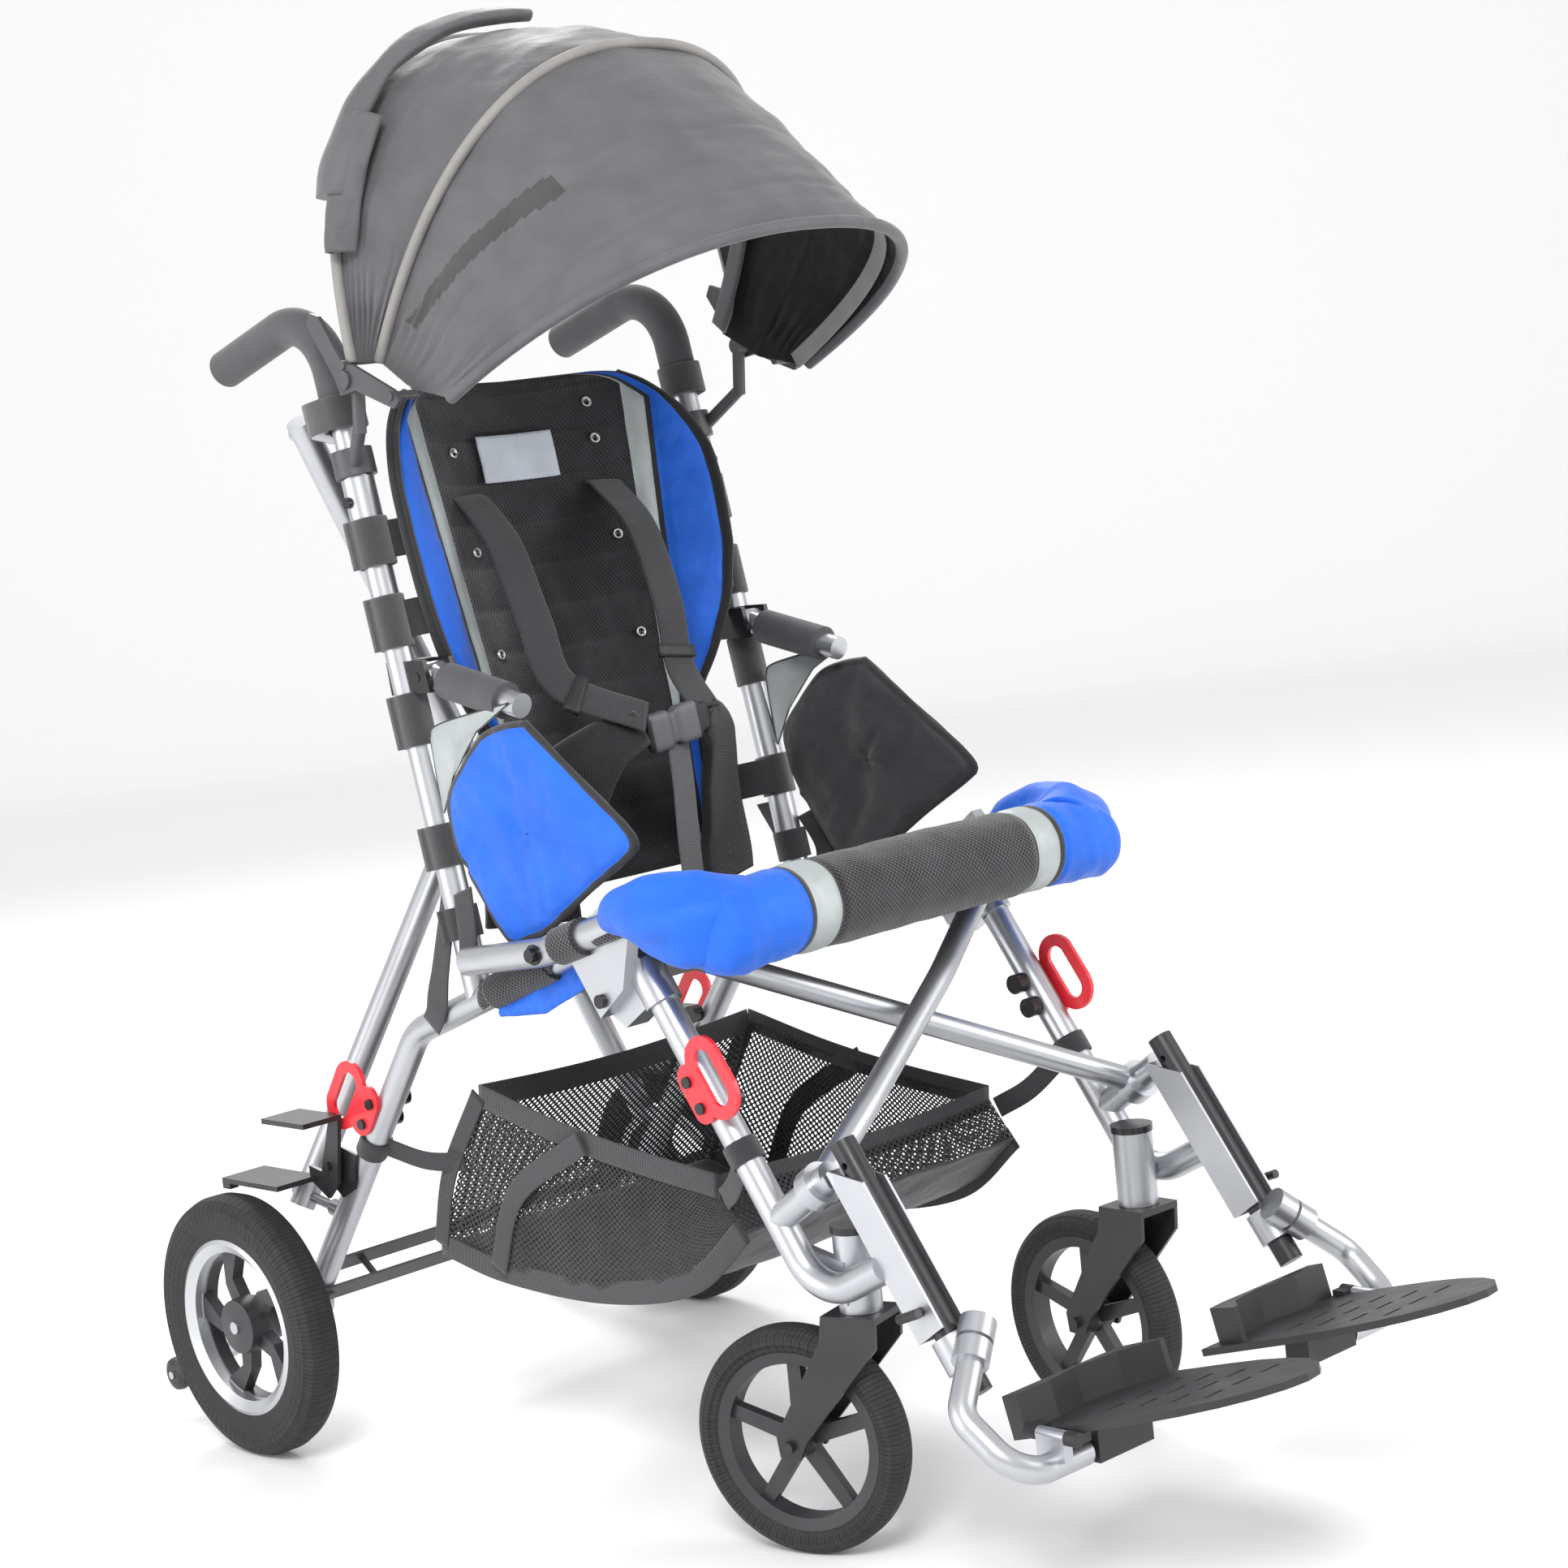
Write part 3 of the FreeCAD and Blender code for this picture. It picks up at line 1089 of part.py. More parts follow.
def write_out():
    """Check every object, then write each sub-part to its own file."""
    doc.recompute()
    for obj in doc.Objects:
        if "Invalid" in obj.State or "Error" in obj.State:
            raise RuntimeError("failed: " + obj.Name + " " + obj.Label)
    os.makedirs("parts", exist_ok=True)
    for node in NODES:
        if node.Shape.isNull() or not node.Shape.isValid():
            raise RuntimeError("bad shape: " + node.Label)
    for node in NODES:
        node.Shape.exportStep("parts/" + node.Label + ".step")
        print("%-24s %2d solids %12.1f mm3" % (node.Label, len(node.Shape.Solids), node.Shape.Volume))



side_tube()
anti_tip_roller()
seat_rail()
front_leg()
leg_bracket()
back_posts()
frame_hardware(armrest())
tie_down_hooks()
rear_wheel()
caster("left", 1, size("left_yaw"))
caster("right", -1, size("right_yaw"))
brake_lever()
hanger_tube()
footplate()
front_braces()
rear_braces()
crossbars()
canopy_clamp()
canopy_arms()
canopy()
seat()
side_pads()
back_pad()
harness()
basket()
write_out()
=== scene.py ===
import math

import bpy
import numpy as np
from mathutils import Matrix, Vector


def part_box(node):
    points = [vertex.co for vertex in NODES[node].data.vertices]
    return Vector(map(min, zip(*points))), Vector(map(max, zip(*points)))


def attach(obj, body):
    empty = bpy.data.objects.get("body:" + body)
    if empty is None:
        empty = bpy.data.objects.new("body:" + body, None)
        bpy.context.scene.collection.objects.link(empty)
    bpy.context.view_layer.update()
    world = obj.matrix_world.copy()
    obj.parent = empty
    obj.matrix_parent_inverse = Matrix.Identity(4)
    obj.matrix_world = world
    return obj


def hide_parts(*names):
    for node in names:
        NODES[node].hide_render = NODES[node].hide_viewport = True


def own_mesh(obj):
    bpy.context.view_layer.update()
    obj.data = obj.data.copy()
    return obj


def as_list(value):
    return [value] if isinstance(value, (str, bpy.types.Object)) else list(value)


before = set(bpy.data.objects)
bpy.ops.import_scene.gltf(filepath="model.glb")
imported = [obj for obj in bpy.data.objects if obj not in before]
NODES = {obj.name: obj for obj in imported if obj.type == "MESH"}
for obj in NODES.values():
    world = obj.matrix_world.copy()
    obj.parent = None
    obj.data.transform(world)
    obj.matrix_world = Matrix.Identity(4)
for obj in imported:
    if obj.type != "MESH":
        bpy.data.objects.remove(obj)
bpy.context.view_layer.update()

# ---------------------------------------------------------------- numbers shared with the CAD part, metres
SIDE = 0.205                      # side frame plane
RAIL = 0.232                      # upper seat rail plane
TUBE = 0.0127                     # frame tube radius
POST = (0.150, 0.486, 10.6)       # back post's foot and lean
LEG = (-0.2192, 0.2867, 33.0)     # front leg's foot and lean
AXLE = (0.468, 0.127)
KNEE = (0.243, 0.412)
SIDES = (("right", -1.0), ("left", 1.0))


# ---------------------------------------------------------------- geometry helpers
def lean_point(line, along, out=0.0, x=0.0):
    """Point 'along' a leaning line (foot y, foot z, lean in degrees) and 'out' in front of it."""
    s, c = math.sin(math.radians(line[2])), math.cos(math.radians(line[2]))
    return np.array([x, line[0] + along * s - out * c, line[1] + along * c + out * s])


def spline(points, count):
    """Catmull-Rom curve through the points, at 'count' places spaced evenly by length."""
    p = np.asarray(points, float)
    p = np.vstack([2 * p[0] - p[1], p, 2 * p[-1] - p[-2]])
    t = np.linspace(0, 1, 24, endpoint=False)[:, None]
    parts = []
    for a, b, c, d in zip(p, p[1:], p[2:], p[3:]):
        parts.append(0.5 * (2 * b + (c - a) * t + (2 * a - 5 * b + 4 * c - d) * t**2
                            + (3 * b - a - 3 * c + d) * t**3))
    q = np.vstack(parts + [p[-2][None, :]])
    length = np.concatenate([[0], np.cumsum(np.linalg.norm(np.diff(q, axis=0), axis=1))])
    want = np.linspace(0, length[-1], count)
    return np.stack([np.interp(want, length, q[:, k]) for k in range(q.shape[1])], axis=1)


def unit(v):
    return v / np.maximum(np.linalg.norm(v, axis=-1, keepdims=True), 1e-12)


def ripple(points, size, seed, octaves=4):
    """Smooth cloth-like noise, about -1 to 1: sines of random direction and phase, finer ones weaker."""
    r = np.random.default_rng(seed)
    p = np.asarray(points, float)
    total = np.zeros(p.shape[:-1])
    for k in range(octaves):
        wave = r.normal(size=(3, 3))
        wave = unit(wave) * (2 * math.pi / size) * 1.7**k
        for w in wave:
            total += np.sin(p @ w + r.uniform(0, 6.28)) / (3 * 1.6**k)
    return total


def bump_at(x, centre, width):
    """1 at the centre, 0 beyond the width, smooth between."""
    return np.exp(-((np.asarray(x) - centre) / width) ** 2)


def surface(name, points, mats, zone=None, closed=False, scale=(1.0, 1.0), uv=None):
    """Mesh from a grid of points (rows, columns, 3). closed joins the last column to the first.
    zone(i, j) gives each face's material; the UV map is the distance in metres along rows and columns."""
    p = np.asarray(points, float)
    rows, cols = p.shape[:2]
    wrap = cols if closed else cols - 1
    if uv is None:
        u = np.concatenate([[0], np.cumsum(np.linalg.norm(np.diff(p, axis=0), axis=2).mean(axis=1))])
        looped = np.concatenate([p, p[:, :1]], axis=1)
        v = np.concatenate([[0], np.cumsum(np.linalg.norm(np.diff(looped, axis=1), axis=2).max(axis=0))])
        uv = lambda i, j: (u[i] * scale[0], v[j] * scale[1])
    faces, loops = [], []
    for i in range(rows - 1):
        for j in range(wrap):
            k = (j + 1) % cols
            faces.append((i * cols + j, i * cols + k, (i + 1) * cols + k, (i + 1) * cols + j))
            loops += [uv(i, j), uv(i, j + 1), uv(i + 1, j + 1), uv(i + 1, j)]
    mesh = bpy.data.meshes.new(name)
    mesh.from_pydata(p.reshape(-1, 3).tolist(), [], faces)
    layer = mesh.uv_layers.new(name="UV")
    layer.data.foreach_set("uv", np.asarray(loops, np.float32).ravel())
    mats = mats if isinstance(mats, (list, tuple)) else [mats]
    for m in mats:
        mesh.materials.append(m)
    if zone:
        index = [zone(i, j) for i in range(rows - 1) for j in range(wrap)]
        mesh.polygons.foreach_set("material_index", index)
    mesh.polygons.foreach_set("use_smooth", [True] * len(faces))
    mesh.update()
    obj = bpy.data.objects.new(name, mesh)
    bpy.context.collection.objects.link(obj)
    return obj


def sweep(path, section, wide):
    """Closed section carried along a path; its first axis follows 'wide', its second the path's normal."""
    path, section = np.asarray(path, float), np.asarray(section, float)
    tangent = unit(np.gradient(path, axis=0))
    wide = np.broadcast_to(np.asarray(wide, float), path.shape)
    wide = unit(wide - (wide * tangent).sum(1, keepdims=True) * tangent)
    normal = np.cross(tangent, wide)
    sec = section if section.ndim == 3 else np.broadcast_to(section, (len(path),) + section.shape)
    return path[:, None] + sec[..., :1] * wide[:, None] + sec[..., 1:] * normal[:, None]


def capped(points):
    """The grid with both ends drawn in to their middles, so that a swept form is closed."""
    first, last = points[:1].mean(axis=1, keepdims=True), points[-1:].mean(axis=1, keepdims=True)
    ends = [first + (points[:1] - first) * k for k in (0.02, 0.6, 0.94)]
    tails = [last + (points[-1:] - last) * k for k in (0.94, 0.6, 0.02)]
    return np.concatenate(ends + [points] + tails, axis=0)


def ring_section(radius, sides=20):
    a = np.linspace(0, 2 * math.pi, sides, endpoint=False)
    return np.stack([radius * np.cos(a), radius * np.sin(a)], axis=1)


def strap_section(width, thick):
    """Rounded flat section of a woven strap."""
    w, t = width / 2, thick / 2
    across = np.array([-1, -0.985, -0.9, -0.5, 0, 0.5, 0.9, 0.985, 1]) * w
    top = np.stack([across, t * np.array([0.0, 0.75, 1, 1, 1, 1, 1, 0.75, 0.0])], axis=1)
    return np.concatenate([top, top[-2:0:-1] * [1, -1]])


def tube(name, path, radius, mat, wide=(1, 0, 0), sides=20):
    return surface(name, capped(sweep(path, ring_section(radius, sides), wide)), mat, closed=True)


def strap(name, path, wide, width, mat, thick=0.0016):
    return surface(name, capped(sweep(path, strap_section(width, thick), wide)), mat, closed=True)


def thicken(obj, thick, offset=-1.0, inner=0):
    """Gives a sheet its thickness; 'inner' is how much higher the new side's material index is."""
    mod = obj.modifiers.new("Thickness", "SOLIDIFY")
    mod.thickness = thick
    mod.offset = offset
    mod.material_offset = inner
    bpy.context.view_layer.objects.active = obj
    bpy.ops.object.modifier_apply(modifier=mod.name)
    return obj


# ---------------------------------------------------------------- materials
class Mat:
    """A Principled material with small helpers for its node tree."""

    def __init__(self, name, color, rough=0.5, metal=0.0, **extra):
        self.mat = bpy.data.materials.new(name)
        self.mat.use_nodes = True
        self.nodes, self.links = self.mat.node_tree.nodes, self.mat.node_tree.links
        self.bsdf = self.nodes["Principled BSDF"]
        self.set("Base Color", (*color, 1.0))
        self.set("Roughness", rough)
        self.set("Metallic", metal)
        for key, value in extra.items():
            self.set(key.replace("_", " "), value)
        self.coord = self.nodes.new("ShaderNodeTexCoord")
        self.height = None

    def set(self, socket, value):
        self.bsdf.inputs[socket].default_value = value

    def node(self, kind, inputs=(), **props):
        n = self.nodes.new(kind)
        for key, value in props.items():
            setattr(n, key, value)
        for key, value in dict(inputs).items():
            if isinstance(value, bpy.types.NodeSocket):
                self.links.new(value, n.inputs[key])
            else:
                n.inputs[key].default_value = value
        return n

    def math(self, op, a, b=0.0, c=0.0):
        return self.node("ShaderNodeMath", {0: a, 1: b, 2: c}, operation=op).outputs[0]

    def noise(self, scale, detail=3.0, space="Object", stretch=None):
        vector = self.coord.outputs[space]
        if stretch:
            vector = self.node("ShaderNodeMapping", {"Vector": vector, "Scale": stretch}).outputs[0]
        return self.node("ShaderNodeTexNoise",
                         {"Vector": vector, "Scale": scale, "Detail": detail}).outputs["Fac"]

    def ramp(self, value, low, high, a=0.0, b=1.0):
        return self.node("ShaderNodeMapRange", {0: value, 1: low, 2: high, 3: a, 4: b}).outputs[0]

    def tint(self, factor, color):
        """Mixes another colour over the base colour by a factor."""
        socket = self.bsdf.inputs["Base Color"]
        mix = self.node("ShaderNodeMix", {0: factor, 7: (*color, 1.0)}, data_type="RGBA")
        if socket.links:
            self.links.new(socket.links[0].from_socket, mix.inputs[6])
        else:
            mix.inputs[6].default_value = socket.default_value
        self.links.new(mix.outputs[2], socket)
        return self

    def wear(self, scale, amount, color, rough=0.1):
        """Broad uneven tone and gloss, as handling and light leave on a surface."""
        n = self.noise(scale)
        self.tint(self.ramp(n, 0.35, 0.75, 0.0, amount), color)
        base = self.bsdf.inputs["Roughness"].default_value
        self.links.new(self.ramp(n, 0.3, 0.7, base - rough, base + rough), self.bsdf.inputs["Roughness"])
        return self

    def relief(self, value, depth):
        """Adds a height to the surface's bump, in metres."""
        scaled = self.math("MULTIPLY", value, depth)
        self.height = scaled if self.height is None else self.math("ADD", self.height, scaled)
        bump = next((n for n in self.nodes if n.bl_idname == "ShaderNodeBump"), None)
        if bump is None:
            bump = self.node("ShaderNodeBump", {"Strength": 1.0, "Distance": 1.0})
            self.links.new(bump.outputs[0], self.bsdf.inputs["Normal"])
        self.links.new(self.height, bump.inputs["Height"])
        return self

    def cells(self, pitch, turn=45.0, space="UV"):
        """Distance from the nearest point of a square lattice of that pitch, in lattice units."""
        lay = self.node("ShaderNodeMapping",
                        {"Vector": self.coord.outputs[space], "Rotation": (0, 0, math.radians(turn)),
                                              "Scale": (1 / pitch, 1 / pitch, 1 / pitch)})
        v = self.node("ShaderNodeTexVoronoi", {"Vector": lay.outputs[0], "Scale": 1.0, "Randomness": 0.0},
                      voronoi_dimensions="2D" if space == "UV" else "3D")
        return v.outputs["Distance"]

    def weave(self, pitch, depth, space="UV"):
        """Two crossed waves, the plain weave of a cloth."""
        lay = self.coord.outputs[space]
        split = self.node("ShaderNodeSeparateXYZ", {0: lay})
        a = self.math("SINE", self.math("MULTIPLY", split.outputs[0], 2 * math.pi / pitch))
        b = self.math("SINE", self.math("MULTIPLY", split.outputs[1], 2 * math.pi / pitch))
        return self.relief(self.math("MULTIPLY", a, b), depth)

    def distance_from(self, centre):
        gap = self.node("ShaderNodeVectorMath", {0: self.coord.outputs["Object"], 1: centre},
                        operation="DISTANCE")
        return gap.outputs["Value"]

    def turn_about(self, centre):
        """Angle about an X axis through the centre."""
        split = self.node("ShaderNodeSeparateXYZ", {0: self.coord.outputs["Object"]})
        dy = self.math("SUBTRACT", split.outputs[1], centre[1])
        dz = self.math("SUBTRACT", split.outputs[2], centre[2])
        return self.math("ARCTAN2", dz, dy)


def metal(name, color, rough, grain=900.0):
    m = Mat(name, color, rough, 0.9)
    m.wear(14.0, 0.22, tuple(c * 0.72 for c in color), 0.06)
    return m.relief(m.noise(grain, 2.0), 0.00003).mat


def plastic(name, color, rough=0.45, grain=600.0):
    m = Mat(name, color, rough, Specular_IOR_Level=0.45)
    m.wear(22.0, 0.35, tuple(min(1.0, c * 1.7 + 0.01) for c in color), 0.08)
    return m.relief(m.noise(grain, 2.0), 0.00006).mat


def nylon(name, color, rough=0.62, sheen=0.25, deep=None):
    """Coated woven nylon: a fine weave, soft sheen, and an uneven darker tone that varies at random."""
    m = Mat(name, color, rough, Sheen_Weight=sheen, Sheen_Roughness=0.4, Specular_IOR_Level=0.35)
    m.wear(26.0, 0.45, deep or tuple(c * 0.62 for c in color), 0.08)
    m.weave(0.0011, 0.00005)
    m.relief(m.noise(60.0, 4.0), 0.0011)
    return m.relief(m.noise(17.0, 3.0, stretch=(1.0, 1.0, 3.0)), 0.0028).mat


def webbing(name, color):
    """Woven strap: cross ribs with a herringbone of two fine waves; the rib crests carry a painted highlight."""
    m = Mat(name, color, 0.75, Sheen_Weight=0.3, Sheen_Roughness=0.5, Specular_IOR_Level=0.25)
    split = m.node("ShaderNodeSeparateXYZ", {0: m.coord.outputs["UV"]})
    rib = m.math("SINE", m.math("MULTIPLY", split.outputs[0], 2 * math.pi / 0.0016))
    line = m.math("SINE", m.math("MULTIPLY", split.outputs[1], 2 * math.pi / 0.0024))
    m.relief(rib, 0.00016).relief(line, 0.00010)
    # painted highlight: the raised rib crests are tinted lighter
    m.tint(m.ramp(rib, -0.6, 0.9, 0.0, 0.45), tuple(min(1.0, c * 2.1 + 0.012) for c in color))
    m.wear(30.0, 0.3, tuple(c * 1.5 for c in color), 0.06)
    return m.mat


def spacer_mesh(name, color, pitch=0.0034):
    """Knitted spacer fabric: small round pits in a lattice over a matt yarn, with painted shade darkening each
    pit.
    """
    m = Mat(name, color, 0.85, Sheen_Weight=0.35, Sheen_Roughness=0.5, Specular_IOR_Level=0.2)
    pit = m.cells(pitch)
    # painted shade: each pit's middle is tinted darker, standing for the shade in the hollow
    painted_pit_shade = m.ramp(pit, 0.18, 0.5, 1.0, 0.0)
    m.tint(painted_pit_shade, tuple(c * 0.25 for c in color))
    m.tint(m.ramp(m.noise(40.0), 0.4, 0.75, 0.0, 0.4), tuple(min(1.0, c * 1.8) for c in color))
    m.relief(m.ramp(pit, 0.1, 0.55, -1.0, 0.0), 0.0007)
    return m.mat


def net(name, color, pitch=0.0052):
    """Open net: the holes of a lattice are clear."""
    m = Mat(name, color, 0.8, Sheen_Weight=0.3, Specular_IOR_Level=0.2)
    pit = m.cells(pitch)
    m.links.new(m.ramp(pit, 0.34, 0.40), m.bsdf.inputs["Alpha"])
    m.relief(pit, 0.0004)
    return m.tint(m.noise(50.0), tuple(c * 1.8 for c in color)).mat


SILVER = metal("silver_tube", (0.50, 0.51, 0.535), 0.36)
ZINC = metal("zinc", (0.62, 0.62, 0.62), 0.28)
BLACK_METAL = plastic("black_tube", (0.018, 0.018, 0.02), 0.33)
DARK_METAL = plastic("dark_bar", (0.06, 0.06, 0.065), 0.42)
BLACK_PLASTIC = plastic("black_plastic", (0.02, 0.02, 0.022), 0.5)
BOLT = plastic("black_bolt", (0.012, 0.012, 0.013), 0.25)
RED = Mat("hook_red", (0.78, 0.02, 0.035), 0.38, Coat_Weight=0.25)
RED.wear(30.0, 0.3, (0.52, 0.008, 0.015)).relief(RED.noise(420.0), 0.00005)
RED = RED.mat
FOAM = Mat("foam", (0.055, 0.055, 0.06), 0.8, Sheen_Weight=0.2)
FOAM.wear(30.0, 0.5, (0.09, 0.09, 0.098), 0.05).relief(FOAM.noise(700.0, 4.0),
                                                       0.00035).relief(FOAM.noise(38.0), 0.0009)
FOAM = FOAM.mat
BLUE = nylon("blue_nylon", (0.008, 0.13, 0.70), 0.55, 0.15)
CHARCOAL = nylon("charcoal_nylon", (0.045, 0.045, 0.05), 0.6)
CANOPY = nylon("canopy_nylon", (0.105, 0.103, 0.110), 0.52, 0.25)
LINING = nylon("canopy_lining", (0.006, 0.006, 0.007), 0.8, 0.1)
MESH = spacer_mesh("spacer_mesh", (0.030, 0.029, 0.033))
NET = net("basket_net", (0.018, 0.018, 0.02))
BINDING = webbing("binding", (0.016, 0.016, 0.018))
WEB = webbing("black_webbing", (0.022, 0.022, 0.025))
GREY_WEB = webbing("grey_webbing", (0.085, 0.085, 0.092))
STRIPE = Mat("reflective_stripe", (0.42, 0.45, 0.45), 0.5, 0.25)
STRIPE.wear(35.0, 0.5, (0.30, 0.33, 0.33)).weave(0.0015, 0.00005).relief(STRIPE.noise(90.0), 0.0006)
STRIPE = STRIPE.mat
TAPE = nylon("canopy_tape", (0.062, 0.061, 0.064), 0.8)
PIPING = nylon("grey_piping", (0.27, 0.26, 0.25), 0.6)
VELCRO = Mat("hook_tape", (0.012, 0.012, 0.013), 0.95, Sheen_Weight=0.6, Sheen_Roughness=0.6,
             Specular_IOR_Level=0.1)
VELCRO.relief(VELCRO.noise(1500.0, 4.0), 0.0009).tint(VELCRO.noise(300.0), (0.035, 0.035, 0.038))
VELCRO = VELCRO.mat
PATCH = nylon("plain_patch", (0.62, 0.66, 0.72), 0.7)


def wheel_material(name, centre, band):
    """Dark moulded wheel whose outer ring, between two radii, is silver."""
    m = Mat(name, (0.022, 0.022, 0.025), 0.4)
    m.wear(30.0, 0.4, (0.045, 0.045, 0.05))
    reach = m.distance_from(centre)
    inside = m.math("MULTIPLY", m.ramp(reach, band[0] - 0.0006, band[0] + 0.0006),
                    m.ramp(reach, band[1], band[1] + 0.001, 1, 0))
    m.tint(inside, (0.55, 0.56, 0.58))
    m.links.new(m.math("MULTIPLY", inside, 0.85), m.bsdf.inputs["Metallic"])
    return m.relief(m.noise(500.0), 0.00006).mat


def tyre_material(name, centre, radius, lugs):
    """Black rubber with cross ribs on the shoulders and a fine moulding grain."""
    m = Mat(name, (0.016, 0.016, 0.017), 0.72, Specular_IOR_Level=0.35)
    angle = m.turn_about(centre)
    rib = m.ramp(m.math("SINE", m.math("MULTIPLY", angle, lugs)), -0.2, 0.35)
    reach = m.distance_from(centre)
    tread = m.ramp(reach, radius - 0.020, radius - 0.012)
    m.relief(m.math("MULTIPLY", rib, tread), 0.0016)
    m.relief(m.math("SINE", m.math("MULTIPLY", reach, 2 * math.pi / 0.006)), 0.0003)
    m.tint(m.math("MULTIPLY", m.noise(60.0), 0.6), (0.045, 0.043, 0.042))
    return m.relief(m.noise(500.0), 0.0001).mat


def paint(node, mat):
    mesh = NODES[node].data
    mesh.materials.clear()
    mesh.materials.append(mat)
    for poly in mesh.polygons:
        poly.use_smooth = True
    mesh.set_sharp_from_angle(angle=math.radians(32))


def centre_of(node):
    low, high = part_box(node)
    return tuple((low + high) / 2)


PAINTS = {"side_tube": SILVER, "seat_rail": SILVER, "front_leg": SILVER, "leg_bracket": SILVER,
          "back_post": SILVER,
          "armrest_bar": SILVER, "foot_tube": SILVER, "front_brace": SILVER, "rear_brace": SILVER,
          "hanger_tube": BLACK_METAL, "brake_lever": BLACK_METAL, "caster_fork": BLACK_METAL,
          "frame_hardware": BOLT, "crossbar": DARK_METAL, "canopy_arms": DARK_METAL, "canopy_clamp": DARK_METAL,
          "handle_grip": FOAM, "armrest_foam": FOAM, "footplate": BLACK_PLASTIC, "tie_down_hooks": RED,
          "anti_tip_roller": BLACK_PLASTIC}
for side_name, sign in SIDES:
    for node, mat in PAINTS.items():
        paint(side_name + "_" + node, mat)
    hub = centre_of(side_name + "_rear_wheel")
    paint(side_name + "_rear_wheel", wheel_material(side_name + "_wheel", hub, (0.076, 0.2)))
    paint(side_name + "_rear_tyre", tyre_material(side_name + "_rear_rubber", hub, 0.127, 90))
    hub = centre_of(side_name + "_caster_wheel")
    paint(side_name + "_caster_wheel", wheel_material(side_name + "_caster", hub, (0.5, 0.6)))
    paint(side_name + "_caster_tyre", tyre_material(side_name + "_caster_rubber", hub, 0.097, 72))


# ---------------------------------------------------------------- soft pieces
def folds(obj, body="right_frame"):
    """Cloth between the side frames: it rides on the right frame, with a mesh of its own."""
    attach(obj, body)
    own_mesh(obj)
    return obj


def pad_point(x, along, out):
    """Place on the back pad: across, up the post line, and out from the shell round the occupant."""
    shell = 0.295 - np.sqrt(0.325**2 - np.asarray(x) ** 2)
    s, c = math.sin(math.radians(POST[2])), math.cos(math.radians(POST[2]))
    forward = shell + out
    return np.stack([x + 0 * forward, POST[0] + along * s - forward * c,
                     POST[1] + along * c + forward * s], axis=-1)


